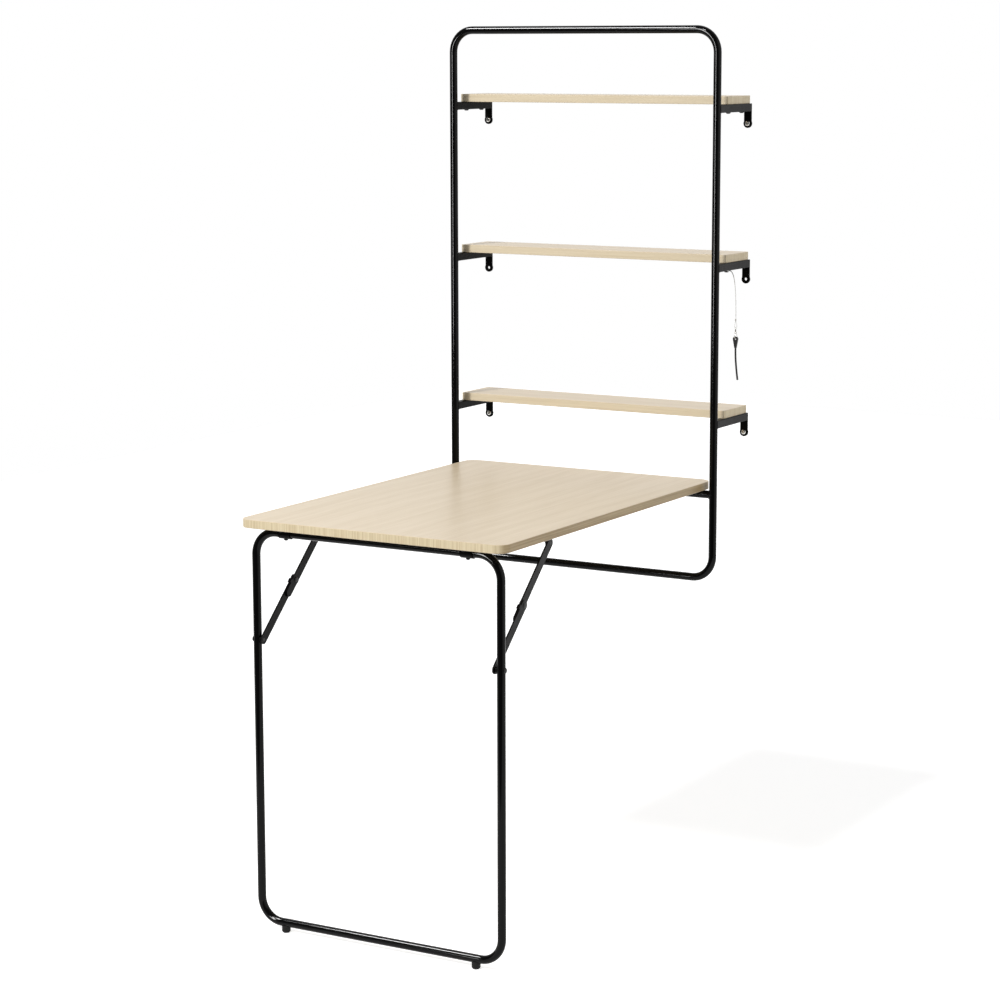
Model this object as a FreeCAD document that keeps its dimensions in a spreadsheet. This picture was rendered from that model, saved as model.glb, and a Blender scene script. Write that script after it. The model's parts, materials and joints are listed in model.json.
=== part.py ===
"""Wall mounted drop leaf table with three shelves, built as separate pieces.

A bent tube frame is screwed to the wall through six plates. Six square arms stand it off the
wall and carry three shelves. The tabletop turns about a cross tube and stands on a bent tube leg,
which turns under the tabletop's front edge and is held upright by two folding braces.

Lengths are in millimetres. The origin lies on the wall, midway between the two middle wall
screws: +X runs to the right, +Y into the wall and +Z up. The table is drawn open.
"""
import FreeCAD, Part
import math
import os
import Sketcher
from FreeCAD import Placement, Rotation, Vector

SIZES = {
    # round tube of the frame, the cross tube and the leg
    "tube_diameter": 15.0,
    "tube_wall": 1.5,
    "bend_radius": 42.0,
    # wall frame: widths and heights between tube centres
    "frame_width": 568.0,
    "frame_height": 1030.0,
    "frame_above_floor": 565.0,
    "wall_distance": 136.0,
    "mount_height": 1125.0,
    # square arms and the wall plates on their ends
    "arm_side": 15.0,
    "arm_wall": 1.5,
    "arm_corner": 1.8,
    "plate_thickness": 3.0,
    "plate_drop": 37.5,
    "plate_eye_diameter": 17.0,
    "plate_hole_diameter": 5.5,
    # shelves
    "shelf_overhang": 5.0,
    "shelf_depth": 102.0,
    "shelf_thickness": 15.0,
    "shelf_spacing": 294.5,
    "shelf_wall_gap": 0.5,
    "shelf_corner": 4.0,
    # shelf screws, up through the arms
    "shelf_screw_front": 48.0,
    "shelf_screw_pitch": 58.0,
    "shelf_screw_shank": 4.5,
    "shelf_screw_bite": 11.0,
    "shelf_screw_head": 9.0,
    "shelf_screw_head_height": 2.6,
    "access_clearance": 0.5,
    # tabletop
    "table_height": 750.0,
    "board_thickness": 15.0,
    "board_side_gap": 7.5,
    "back_overhang": 30.0,
    "front_overhang": 27.0,
    "board_corner": 24.0,
    "edge_chamfer": 0.7,
    # leg and its feet
    "leg_inset": 20.0,
    "foot_inset": 51.5,
    "foot_diameter": 15.6,
    "foot_height": 10.5,
    "foot_grip": 3.5,
    "foot_chamfer": 2.6,
    "fold_clearance": 4.8,
    "fold_gap": 0.3,
    # strap saddles that hold the tubes under the tabletop
    "saddle_thickness": 1.6,
    "saddle_width": 24.0,
    "saddle_reach": 22.0,
    "saddle_corner": 4.0,
    "hinge_saddle_inset": 119.0,
    "leg_saddle_inset": 64.0,
    "saddle_screw_offset": 15.5,
    # small screws of the saddles and brace brackets, and the leg's retaining screws
    "board_screw_shank": 4.0,
    "board_screw_bite": 11.0,
    "board_screw_head": 7.0,
    "board_screw_head_height": 2.0,
    "retaining_screw_shank": 4.0,
    "retaining_screw_head": 7.5,
    "retaining_screw_head_height": 3.0,
    # folding braces
    "brace_reach": 195.0,
    "anchor_drop": 10.0,
    "link_width": 16.0,
    "link_thickness": 3.0,
    "link_gap": 0.3,
    "knee_diameter": 18.0,
    "link_overrun": 29.0,
    "stop_length": 8.0,
    "stop_thickness": 3.0,
    "stop_offset": 6.0,
    "spacer_length": 3.0,
    "spacer_diameter": 10.0,
    # brace brackets under the tabletop
    "bracket_thickness": 3.0,
    "bracket_length": 40.0,
    "bracket_base": 27.0,
    "bracket_tip_diameter": 16.0,
    "bracket_corner": 5.0,
    "bracket_screw_inset": 12.0,
    "bracket_screw_pitch": 24.0,
    # rivets
    "rivet_diameter": 6.0,
    "rivet_head": 10.0,
    "rivet_head_height": 2.0,
    "rivet_tail_height": 1.4,
    # fits, as clearances per side
    "running_clearance": 0.08,
    "fixed_clearance": 0.05,
    # lanyard under the middle right arm
    "eyelet_diameter": 9.4,
    "eyelet_thickness": 1.0,
    "barrel_diameter": 2.8,
    "barrel_length": 5.0,
    "thin_cord_diameter": 1.5,
    "crimp_diameter": 3.2,
    "crimp_length": 4.0,
    "loop_width": 8.0,
    "loop_height": 13.0,
    "loop_cord_diameter": 1.0,
    "swivel_eye": 2.6,
    "swivel_wire": 1.0,
    "swivel_diameter": 3.0,
    "swivel_length": 5.0,
    "ring_diameter": 10.6,
    "ring_wire": 1.0,
    "pull_eye_diameter": 10.0,
    "pull_eye_hole": 3.6,
    "pull_eye_thickness": 4.0,
    "pull_eye_length": 17.0,
    "pull_cord_diameter": 3.5,
    "hanging_clearance": 0.3,
}

# Where things are, as expressions on the sheet
FLOOR_Z = "(-Sizes.mount_height)"
FRAME_X = "(Sizes.frame_width / 2)"
FRAME_Y = "(-Sizes.wall_distance)"
FRAME_BOTTOM = "(Sizes.frame_above_floor - Sizes.mount_height)"
FRAME_TOP = f"({FRAME_BOTTOM} + Sizes.frame_height)"
TUBE_RADIUS = "(Sizes.tube_diameter / 2)"

SHELF_LENGTH = "(Sizes.frame_width + 2 * Sizes.shelf_overhang)"
BOARD_WIDTH = "(Sizes.frame_width - Sizes.tube_diameter - 2 * Sizes.board_side_gap)"
BOARD_BOTTOM = "(Sizes.table_height - Sizes.board_thickness - Sizes.mount_height)"
WIDEST_ON_LEG = "max(Sizes.tube_diameter; Sizes.foot_diameter; Sizes.link_width)"
TUBE_DROP = f"({WIDEST_ON_LEG} / 2 + Sizes.fold_gap)"
HINGE_Z = f"({BOARD_BOTTOM} - {TUBE_DROP})"

# the folded leg, feet and all, fits under the tabletop in front of the cross tube
LEG_REACH = f"({HINGE_Z} - {FLOOR_Z} + {TUBE_RADIUS} + Sizes.fold_clearance)"
LEG_X = f"({BOARD_WIDTH} / 2 - Sizes.leg_inset)"
LEG_Y = f"({FRAME_Y} - {LEG_REACH})"
LEG_BAR_Z = f"({FLOOR_Z} + Sizes.foot_height + {TUBE_RADIUS})"
FOOT_X = f"({LEG_X} - Sizes.foot_inset)"

# saddles, each pair at one place across and one along
HINGE_SADDLES = (f"({BOARD_WIDTH} / 2 - Sizes.hinge_saddle_inset)", FRAME_Y)
LEG_SADDLES = (f"({LEG_X} - Sizes.leg_saddle_inset)", LEG_Y)

# brace layers, counted inwards from the leg tube: spacer, lower link, upper link, bracket
SPACER_X = f"({LEG_X} - {TUBE_RADIUS} - Sizes.spacer_length)"
LOWER_LINK_X = f"({SPACER_X} - Sizes.link_thickness)"
UPPER_LINK_X = f"({LOWER_LINK_X} - Sizes.link_gap - Sizes.link_thickness)"
BRACKET_X = f"({UPPER_LINK_X} - Sizes.link_gap)"

# braces: straight when the leg stands, folded flat beside it when the leg is up
ANCHOR_Y = f"({LEG_Y} + Sizes.brace_reach)"
ANCHOR_Z = f"({HINGE_Z} - Sizes.anchor_drop)"
RIVET_Z = f"({HINGE_Z} - Sizes.brace_reach)"
KNEE_Y = f"(({ANCHOR_Y} + {LEG_Y}) / 2)"
KNEE_Z = f"(({ANCHOR_Z} + {RIVET_Z}) / 2)"
LINK_LENGTH = "(hypot(Sizes.brace_reach; Sizes.brace_reach - Sizes.anchor_drop) / 2)"
LINK_TILT = "atan2(Sizes.brace_reach - Sizes.anchor_drop; Sizes.brace_reach)"

# lanyard: from the end of its barrel down to each piece that hangs on the one above
LANYARD_X = FRAME_X
EYELET_Y = f"({FRAME_Y} + Sizes.shelf_screw_front)"
EYELET_Z = "(Sizes.plate_drop - Sizes.arm_side)"
BARREL_START = "(Sizes.eyelet_diameter / 2)"
CORD_Y = f"({EYELET_Y} + {BARREL_START} + Sizes.barrel_length)"
CORD_Z = f"({EYELET_Z} - Sizes.barrel_diameter / 2)"

# routes of the two cords as (along, up) steps from where each one starts
THIN_CORD_ROUTE = [(0.0, 0.0), (10.0, 0.0), (20.5, -8.6), (27.5, -23.0), (31.5, -46.0),
                   (34.0, -70.0), (34.0, -94.0)]
PULL_CORD_ROUTE = [(0.0, 0.0), (0.0, -14.0), (2.2, -29.0), (5.8, -46.0), (10.2, -62.0)]
ARC_SHARE = 0.45
WIRE_CORNERS = 6

SIDES = {"left": -1, "right": 1}
LEVELS = {"lower": -1, "middle": 0, "top": 1}

doc = FreeCAD.newDocument("drop_leaf_table")
sheet = doc.addObject("Spreadsheet::Sheet", "Sizes")
sub_parts = []


def fill_sheet():
    """Write every driving dimension to the sheet, with its name beside it as an alias."""
    for row, (name, size) in enumerate(SIZES.items(), start=1):
        sheet.set(f"A{row}", name)
        sheet.set(f"B{row}", str(size))
        sheet.setAlias(f"B{row}", name)
    doc.recompute()


def number(expression):
    """The present value of an expression on the sheet."""
    value = sheet.evalExpression(expression)
    return float(getattr(value, "Value", value))


# ---------------------------------------------------------------- sketches and features

def new_body(name):
    """An empty body that becomes the sub-part of that name."""
    body = doc.addObject("PartDesign::Body", name)
    body.Label = name
    sub_parts.append(body)
    return body


def new_master(name):
    """A body that is only drawn once and repeated by links, so it isn't a sub-part itself."""
    body = doc.addObject("PartDesign::Body", name)
    body.Label = name
    return body


def new_sketch(body, plane_role, purpose, offset=None):
    """A sketch on one of the body's own origin planes, or offset from it along its normal."""
    sketch = body.newObject("Sketcher::SketchObject", f"{body.Name}_{purpose}")
    plane = next(item for item in body.Origin.OriginFeatures if item.Role == plane_role)
    sketch.AttachmentSupport = [(plane, "")]
    sketch.MapMode = "FlatFace"
    if offset is not None:
        sketch.setExpression("AttachmentOffset.Base.z", offset)
    return sketch


def bind(sketch, constraint, expression):
    """Add a constraint whose value follows the sheet."""
    index = sketch.addConstraint(constraint)
    sketch.setExpression(f"Constraints[{index}]", expression)


def pin(sketch, geometry, point, across, up):
    """Tie one point of a curve to the sketch's origin."""
    bind(sketch, Sketcher.Constraint("DistanceX", -1, 1, geometry, point, number(across)), across)
    bind(sketch, Sketcher.Constraint("DistanceY", -1, 1, geometry, point, number(up)), up)


def draw_circle(sketch, across, up, radius):
    """A full circle, its centre and radius following the sheet."""
    centre = Vector(number(across), number(up), 0)
    circle = sketch.addGeometry(Part.Circle(centre, Vector(0, 0, 1), number(radius)))
    pin(sketch, circle, 3, across, up)
    bind(sketch, Sketcher.Constraint("Radius", circle, number(radius)), radius)


def draw_arc(sketch, across, up, radius, first, last):
    """An arc between two whole quarter turns, in degrees. Returns its first and last ends."""
    low, high = sorted((first, last))
    centre = Vector(number(across), number(up), 0)
    circle = Part.Circle(centre, Vector(0, 0, 1), number(radius))
    arc = sketch.addGeometry(Part.ArcOfCircle(circle, math.radians(low), math.radians(high)))
    pin(sketch, arc, 3, across, up)
    bind(sketch, Sketcher.Constraint("Radius", arc, number(radius)), radius)
    for point, angle in ((1, low), (2, high)):
        level = "Horizontal" if angle % 180 == 0 else "Vertical"
        sketch.addConstraint(Sketcher.Constraint(level, arc, 3, arc, point))
    ends = [((arc, 1), low), ((arc, 2), high)]
    if first > last:
        ends.reverse()
    return ends


def draw_path(sketch, steps, closed=True):
    """Straight lines from step to step.

    A step is a corner (across, up) or an arc (across, up, radius, first, last).
    """
    arrive, leave = [], []
    for step in steps:
        if len(step) == 2:
            corner = Vector(number(step[0]), number(step[1]), 0)
            arrive.append([None, corner])
            leave.append([None, corner])
            continue
        across, up, radius = (number(expression) for expression in step[:3])
        for (end, angle), side in zip(draw_arc(sketch, *step), (arrive, leave)):
            turn = math.radians(angle)
            meeting = Vector(across + radius * math.cos(turn), up + radius * math.sin(turn), 0)
            side.append([end, meeting])

    for index in range(len(steps) if closed else len(steps) - 1):
        following = (index + 1) % len(steps)
        line = sketch.addGeometry(Part.LineSegment(leave[index][1], arrive[following][1]))
        for point, step, meets in ((1, index, leave), (2, following, arrive)):
            if meets[step][0] is not None:
                sketch.addConstraint(Sketcher.Constraint("Coincident", line, point, *meets[step][0]))
                continue
            pin(sketch, line, point, *steps[step])
            arrive[step][0] = leave[step][0] = (line, point)


def draw_rectangle(sketch, low_across, low_up, high_across, high_up):
    """An upright rectangle between two corners."""
    draw_path(sketch, [(low_across, low_up), (high_across, low_up),
                       (high_across, high_up), (low_across, high_up)])


def add_pad(body, sketch, length, backwards=False, symmetric=False):
    """Extrude a sketch, along its normal unless backwards."""
    pad = body.newObject("PartDesign::Pad", f"{sketch.Name}_pad")
    pad.Profile = (sketch, [""])
    pad.setExpression("Length", length)
    pad.Reversed = backwards
    pad.SideType = "Symmetric" if symmetric else "One side"
    return pad


def add_through_cut(body, sketch):
    """Cut a sketch through the whole body, both ways."""
    pocket = body.newObject("PartDesign::Pocket", f"{sketch.Name}_cut")
    pocket.Profile = (sketch, [""])
    pocket.Type = "ThroughAll"
    pocket.SideType = "Symmetric"
    return pocket


def add_blind_cut(body, sketch, depth):
    """Cut a sketch upwards, along its normal, to a depth."""
    pocket = body.newObject("PartDesign::Pocket", f"{sketch.Name}_cut")
    pocket.Profile = (sketch, [""])
    pocket.setExpression("Length", depth)
    pocket.Reversed = True
    return pocket


def add_fillet(body, feature, names, radius):
    """Round the named edges of the body's last feature."""
    fillet = body.newObject("PartDesign::Fillet", f"{feature.Name}_rounded")
    fillet.Base = (feature, names)
    fillet.setExpression("Radius", radius)
    doc.recompute()
    return fillet


def add_chamfer(body, feature, names, size):
    """Bevel the named edges, or all edges of the named faces, of the body's last feature."""
    chamfer = body.newObject("PartDesign::Chamfer", f"{feature.Name}_bevelled")
    chamfer.Base = (feature, names)
    chamfer.setExpression("Size", size)
    doc.recompute()
    return chamfer


def edges_along(feature, direction, length=None):
    """Names of a feature's straight edges that run along a direction."""
    names = []
    for index, edge in enumerate(feature.Shape.Edges, start=1):
        if edge.Curve.TypeId != "Part::GeomLine":
            continue
        if not edge.Curve.Direction.cross(direction).Length < 1e-6:
            continue
        if length is None or math.isclose(edge.Length, length, abs_tol=1e-6):
            names.append(f"Edge{index}")
    return names


def level_faces(feature):
    """Names of a feature's flat faces that point straight up or down."""
    names = []
    for index, face in enumerate(feature.Shape.Faces, start=1):
        if face.Surface.TypeId == "Part::GeomPlane" and abs(face.normalAt(0, 0).z) > 1 - 1e-6:
            names.append(f"Face{index}")
    return names


def place(piece, across, along, up, axis=None, turn=None):
    """Put a piece's own origin at a point, turned about an axis by an angle or expression."""
    if axis is not None:
        angle = number(turn) if isinstance(turn, str) else turn
        piece.Placement = Placement(Vector(), Rotation(axis, angle))
    if isinstance(turn, str):
        piece.setExpression("Placement.Rotation.Angle", turn)
    for name, expression in (("x", across), ("y", along), ("z", up)):
        piece.setExpression(f"Placement.Base.{name}", expression)


def new_group(name, copies):
    """One sub-part of separate solids: each copy is a master piece, its place and its turn."""
    links = []
    for index, (master, where, turn) in enumerate(copies, start=1):
        link = doc.addObject("App::Link", f"{name}_{index}")
        link.LinkedObject = master
        place(link, *where, axis=Vector(0, 1, 0), turn=turn)
        links.append(link)
    group = doc.addObject("Part::Compound", name)
    group.Label = name
    group.Links = links
    sub_parts.append(group)


def on_side(side, expression):
    """The expression mirrored to the left for side -1, or as it is for side 1."""
    return f"({side} * {expression})"


# ---------------------------------------------------------------- tubes

def build_half_loop(name, side, half_width, top, bottom, along):
    """Half of a closed loop of round tube, cut at the middle of its top and bottom bars."""
    body = new_body(name)
    spine = new_sketch(body, "XZ_Plane", "spine")
    upright = on_side(side, half_width)
    bend_across = on_side(side, f"({half_width} - Sizes.bend_radius)")
    radius = "Sizes.bend_radius"
    up_turn, down_turn = ((90, 180), (180, 270)) if side < 0 else ((90, 0), (0, -90))
    draw_path(spine, [("0", top),
                      (bend_across, f"({top} - {radius})", radius, *up_turn),
                      (bend_across, f"({bottom} + {radius})", radius, *down_turn),
                      ("0", bottom)], closed=False)
    section = new_sketch(body, "YZ_Plane", "section")
    draw_circle(section, "0", top, TUBE_RADIUS)
    draw_circle(section, "0", top, f"({TUBE_RADIUS} - Sizes.tube_wall)")
    doc.recompute()
    pipe = body.newObject("PartDesign::AdditivePipe", f"{name}_pipe")
    pipe.Profile = (section, [""])
    pipe.Spine = (spine, [f"Edge{index}" for index in range(1, len(spine.Shape.Edges) + 1)])
    doc.recompute()
    place(body, "0", along, "0")
    return body


def build_frame_tube(name, side):
    """Half of the wall frame."""
    build_half_loop(name, side, FRAME_X, FRAME_TOP, FRAME_BOTTOM, FRAME_Y)


def build_leg_tube(name, side):
    """Half of the leg, drilled through for its brace rivet."""
    body = build_half_loop(name, side, LEG_X, HINGE_Z, LEG_BAR_Z, LEG_Y)
    hole = new_sketch(body, "YZ_Plane", "rivet_hole")
    draw_circle(hole, "0", RIVET_Z, "(Sizes.rivet_diameter / 2 + Sizes.fixed_clearance)")
    add_through_cut(body, hole)


def build_cross_tube():
    """Straight tube that the tabletop turns on, its ends coped to the frame's uprights."""
    body = new_body("cross_tube")
    section = new_sketch(body, "YZ_Plane", "section")
    draw_circle(section, "0", "0", TUBE_RADIUS)
    draw_circle(section, "0", "0", f"({TUBE_RADIUS} - Sizes.tube_wall)")
    add_pad(body, section, "Sizes.frame_width", symmetric=True)
    cope = new_sketch(body, "XY_Plane", "cope")
    for side in SIDES.values():
        draw_circle(cope, on_side(side, FRAME_X), "0", f"({TUBE_RADIUS} + Sizes.fixed_clearance)")
    add_through_cut(body, cope)
    place(body, "0", FRAME_Y, HINGE_Z)


def build_foot(name, side):
    """Glide cap under the leg's bottom bar, coped to the tube."""
    body = new_body(name)
    base = new_sketch(body, "XY_Plane", "base")
    draw_circle(base, "0", "0", "(Sizes.foot_diameter / 2)")
    block = add_pad(body, base, "(Sizes.foot_height + Sizes.foot_grip)")
    doc.recompute()
    rim = [f"Edge{index}" for index, edge in enumerate(block.Shape.Edges, start=1)
           if edge.Curve.TypeId == "Part::GeomCircle" and abs(edge.CenterOfMass.z) < 1e-6]
    add_chamfer(body, block, rim, "Sizes.foot_chamfer")
    seat = new_sketch(body, "YZ_Plane", "seat")
    draw_circle(seat, "0", f"(Sizes.foot_height + {TUBE_RADIUS})",
                f"({TUBE_RADIUS} + Sizes.fixed_clearance)")
    add_through_cut(body, seat)
    place(body, on_side(side, FOOT_X), LEG_Y, FLOOR_Z)


# ---------------------------------------------------------------- arms, plates and shelves

def shelf_bottom(level):
    """Height of a shelf's underside, which is also the top of its arms."""
    return f"(Sizes.plate_drop + {level} * Sizes.shelf_spacing)"


def shelf_screw_places(side):
    """Across and along places of the two screws in one arm, front and back."""
    across = on_side(side, FRAME_X)
    return [(across, f"({FRAME_Y} + Sizes.shelf_screw_front)"),
            (across, f"({FRAME_Y} + Sizes.shelf_screw_front + Sizes.shelf_screw_pitch)")]


def holds_lanyard(side, level, row):
    """The front screw of the middle right arm also holds the lanyard."""
    return side > 0 and level == LEVELS["middle"] and row == 0


def is_recessed(side, level, row):
    """Below the top shelf the screw heads sit inside the arms, except the lanyard's."""
    return level != LEVELS["top"] and not holds_lanyard(side, level, row)


def build_arm(name, side, level):
    """Square tube from the frame's upright to its wall plate, coped and drilled twice."""
    body = new_body(name)
    section = new_sketch(body, "XZ_Plane", "section")
    half, wall = "(Sizes.arm_side / 2)", "Sizes.arm_wall"
    draw_rectangle(section, f"(-{half})", "(-Sizes.arm_side)", half, "0")
    draw_rectangle(section, f"({wall} - {half})", f"({wall} - Sizes.arm_side)",
                   f"({half} - {wall})", f"(-{wall})")
    bar = add_pad(body, section, "(Sizes.wall_distance - Sizes.plate_thickness)", backwards=True)
    doc.recompute()
    outer_edges = [edge for edge in edges_along(bar, Vector(0, 1, 0))
                   if math.isclose(abs(bar.Shape.getElement(edge).CenterOfMass.x), number(half))]
    add_fillet(body, bar, outer_edges, "Sizes.arm_corner")
    openings = new_sketch(body, "XY_Plane", "cope_and_holes")
    draw_circle(openings, "0", "0", f"({TUBE_RADIUS} + Sizes.fixed_clearance)")
    rows = ["Sizes.shelf_screw_front", "(Sizes.shelf_screw_front + Sizes.shelf_screw_pitch)"]
    for along in rows:
        draw_circle(openings, "0", along, "(Sizes.shelf_screw_shank / 2 + Sizes.fixed_clearance)")
    add_through_cut(body, openings)
    recessed = [along for row, along in enumerate(rows) if is_recessed(side, level, row)]
    if recessed:
        access = new_sketch(body, "XY_Plane", "access", offset="(-Sizes.arm_side)")
        for along in recessed:
            draw_circle(access, "0", along, "(Sizes.shelf_screw_head / 2 + Sizes.access_clearance)")
        add_blind_cut(body, access, "(Sizes.arm_side / 2)")
    place(body, on_side(side, FRAME_X), FRAME_Y, shelf_bottom(level))


def build_wall_plate(name, side, level):
    """Flat plate welded on an arm's end, with an eye below it for the wall screw."""
    body = new_body(name)
    neck = new_sketch(body, "XZ_Plane", "neck")
    draw_rectangle(neck, "(-Sizes.arm_side / 2)", "0", "(Sizes.arm_side / 2)", "Sizes.plate_drop")
    add_pad(body, neck, "Sizes.plate_thickness")
    eye = new_sketch(body, "XZ_Plane", "eye")
    draw_circle(eye, "0", "0", "(Sizes.plate_eye_diameter / 2)")
    add_pad(body, eye, "Sizes.plate_thickness")
    hole = new_sketch(body, "XZ_Plane", "hole")
    draw_circle(hole, "0", "0", "(Sizes.plate_hole_diameter / 2)")
    add_through_cut(body, hole)
    place(body, on_side(side, FRAME_X), "0", f"({level} * Sizes.shelf_spacing)")


def build_board(name, low_along, high_along, width, thickness, corner, holes, hole_radius, bite):
    """Laminated board with rounded corners, bevelled edges and blind pilot holes from below."""
    body = new_body(name)
    outline = new_sketch(body, "XY_Plane", "outline")
    draw_rectangle(outline, f"(-{width} / 2)", low_along, f"({width} / 2)", high_along)
    slab = add_pad(body, outline, thickness)
    doc.recompute()
    corners = add_fillet(body, slab, edges_along(slab, Vector(0, 0, 1)), corner)
    add_chamfer(body, corners, level_faces(corners), "Sizes.edge_chamfer")
    pilots = new_sketch(body, "XY_Plane", "pilots")
    for across, along in holes:
        draw_circle(pilots, across, along, hole_radius)
    add_blind_cut(body, pilots, f"({bite} + 2 * Sizes.fixed_clearance)")
    return body


def build_shelf(name, level):
    """Shelf on its two arms, its back edge just clear of the wall."""
    back = "(-Sizes.shelf_wall_gap)"
    holes = shelf_screw_places(SIDES["left"]) + shelf_screw_places(SIDES["right"])
    body = build_board(name, f"({back} - Sizes.shelf_depth)", back, SHELF_LENGTH,
                       "Sizes.shelf_thickness", "Sizes.shelf_corner", holes,
                       "(Sizes.shelf_screw_shank / 2 + Sizes.fixed_clearance)",
                       "Sizes.shelf_screw_bite")
    place(body, "0", "0", shelf_bottom(level))


def build_shelf_screws(name, level, through_screw, recessed_screw):
    """Four pan head screws that hold one shelf down on its arms."""
    copies = []
    for side in SIDES.values():
        for row, where in enumerate(shelf_screw_places(side)):
            master, head_face = through_screw, f"({shelf_bottom(level)} - Sizes.arm_side)"
            if is_recessed(side, level, row):
                master, head_face = recessed_screw, f"({shelf_bottom(level)} - Sizes.arm_wall)"
            elif holds_lanyard(side, level, row):
                head_face = f"({head_face} - Sizes.eyelet_thickness)"
            copies.append((master, (*where, head_face), 0))
    new_group(name, copies)


# ---------------------------------------------------------------- tabletop and saddles

def saddle_screw_places(across, along):
    """Across and along places of the screws in a pair of saddles."""
    return [(on_side(side, across), f"({along} + {way} * Sizes.saddle_screw_offset)")
            for side in SIDES.values() for way in (-1, 1)]


def bracket_screw_places():
    """Across and along places of the screws in both brace brackets."""
    across = f"({BRACKET_X} - Sizes.bracket_base + Sizes.bracket_screw_inset)"
    return [(on_side(side, across), f"({ANCHOR_Y} + {way} * Sizes.bracket_screw_pitch / 2)")
            for side in SIDES.values() for way in (-1, 1)]


def build_tabletop():
    """The leaf, drilled from below for its saddles and brace brackets."""
    holes = (saddle_screw_places(*HINGE_SADDLES) + saddle_screw_places(*LEG_SADDLES)
             + bracket_screw_places())
    body = build_board("tabletop", f"({LEG_Y} - Sizes.front_overhang)",
                       f"({FRAME_Y} + Sizes.back_overhang)", BOARD_WIDTH,
                       "Sizes.board_thickness", "Sizes.board_corner", holes,
                       "(Sizes.board_screw_shank / 2 + Sizes.fixed_clearance)",
                       "Sizes.board_screw_bite")
    place(body, "0", "0", BOARD_BOTTOM)


def build_saddle(name, side, across, along, retained):
    """Strap bent round a tube, with an ear on each side screwed to the tabletop."""
    body = new_body(name)
    inner = f"({TUBE_RADIUS} + Sizes.running_clearance)"
    outer = f"({inner} + Sizes.saddle_thickness)"
    under_ear = f"({TUBE_DROP} - Sizes.saddle_thickness)"
    reach = "Sizes.saddle_reach"
    profile = new_sketch(body, "YZ_Plane", "profile")
    draw_path(profile, [(f"(-{reach})", TUBE_DROP), (f"(-{inner})", TUBE_DROP),
                        ("0", "0", inner, 180, 360),
                        (inner, TUBE_DROP), (reach, TUBE_DROP), (reach, under_ear),
                        (outer, under_ear),
                        ("0", "0", outer, 360, 180),
                        (f"(-{outer})", under_ear), (f"(-{reach})", under_ear)])
    strap = add_pad(body, profile, "Sizes.saddle_width", symmetric=True)
    doc.recompute()
    ear_corners = edges_along(strap, Vector(0, 0, 1), number("Sizes.saddle_thickness"))
    add_fillet(body, strap, ear_corners, "Sizes.saddle_corner")
    holes = new_sketch(body, "XY_Plane", "holes")
    for way in (-1, 1):
        draw_circle(holes, "0", f"({way} * Sizes.saddle_screw_offset)",
                    "(Sizes.board_screw_shank / 2 + Sizes.fixed_clearance)")
    if retained:
        draw_circle(holes, "0", "0", "(Sizes.retaining_screw_shank / 2 + Sizes.fixed_clearance)")
    add_through_cut(body, holes)
    place(body, on_side(side, across), along, HINGE_Z)


def build_bracket(name, side):
    """Angle bracket under the tabletop, its ear tapering to the brace's upper pivot."""
    body = new_body(name)
    inwards = side > 0
    half_length = "(Sizes.bracket_length / 2)"
    top = f"({TUBE_DROP} + Sizes.anchor_drop)"
    under_base = f"({top} - Sizes.bracket_thickness)"
    ear = new_sketch(body, "YZ_Plane", "ear")
    draw_path(ear, [("0", "0", "(Sizes.bracket_tip_diameter / 2)", 180, 360),
                    (half_length, under_base), (half_length, top),
                    (f"(-{half_length})", top), (f"(-{half_length})", under_base)])
    add_pad(body, ear, "Sizes.bracket_thickness", backwards=inwards)
    base = new_sketch(body, "YZ_Plane", "base")
    draw_rectangle(base, f"(-{half_length})", under_base, half_length, top)
    plate = add_pad(body, base, "Sizes.bracket_base", backwards=inwards)
    doc.recompute()
    free_end = -side * number("Sizes.bracket_base")
    upright = edges_along(plate, Vector(0, 0, 1), number("Sizes.bracket_thickness"))
    end_corners = [edge for edge in upright
                   if math.isclose(plate.Shape.getElement(edge).CenterOfMass.x, free_end,
                                   abs_tol=1e-6)]
    add_fillet(body, plate, end_corners, "Sizes.bracket_corner")
    pivot = new_sketch(body, "YZ_Plane", "pivot")
    draw_circle(pivot, "0", "0", "(Sizes.rivet_diameter / 2 + Sizes.fixed_clearance)")
    add_through_cut(body, pivot)
    holes = new_sketch(body, "XY_Plane", "holes")
    for way in (-1, 1):
        draw_circle(holes, on_side(-side, "(Sizes.bracket_base - Sizes.bracket_screw_inset)"),
                    f"({way} * Sizes.bracket_screw_pitch / 2)",
                    "(Sizes.board_screw_shank / 2 + Sizes.fixed_clearance)")
    add_through_cut(body, holes)
    place(body, on_side(side, BRACKET_X), ANCHOR_Y, ANCHOR_Z)


# ---------------------------------------------------------------- folding braces

def draw_strip(sketch, low, high):
    """A strip of link width with round ends about two centres."""
    radius = "(Sizes.link_width / 2)"
    draw_path(sketch, [(high, "0", radius, -90, 90), (low, "0", radius, 90, 270)])


def start_link(name, side, low, high, knee):
    """The flat of a brace link, with a wider lobe about the knee. It grows away from centre."""
    body = new_body(name)
    strip = new_sketch(body, "YZ_Plane", "strip")
    draw_strip(strip, low, high)
    add_pad(body, strip, "Sizes.link_thickness", backwards=side < 0)
    lobe = new_sketch(body, "YZ_Plane", "lobe")
    draw_circle(lobe, knee, "0", "(Sizes.knee_diameter / 2)")
    add_pad(body, lobe, "Sizes.link_thickness", backwards=side < 0)
    return body


def finish_link(body, side, inner_face, along, up, pivots):
    """Drill a link's pivots and turn it into line."""
    holes = new_sketch(body, "YZ_Plane", "pivots")
    for across, clearance in pivots:
        draw_circle(holes, across, "0", f"(Sizes.rivet_diameter / 2 + Sizes.{clearance})")
    add_through_cut(body, holes)
    place(body, on_side(side, inner_face), along, up, axis=Vector(1, 0, 0), turn=LINK_TILT)


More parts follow.
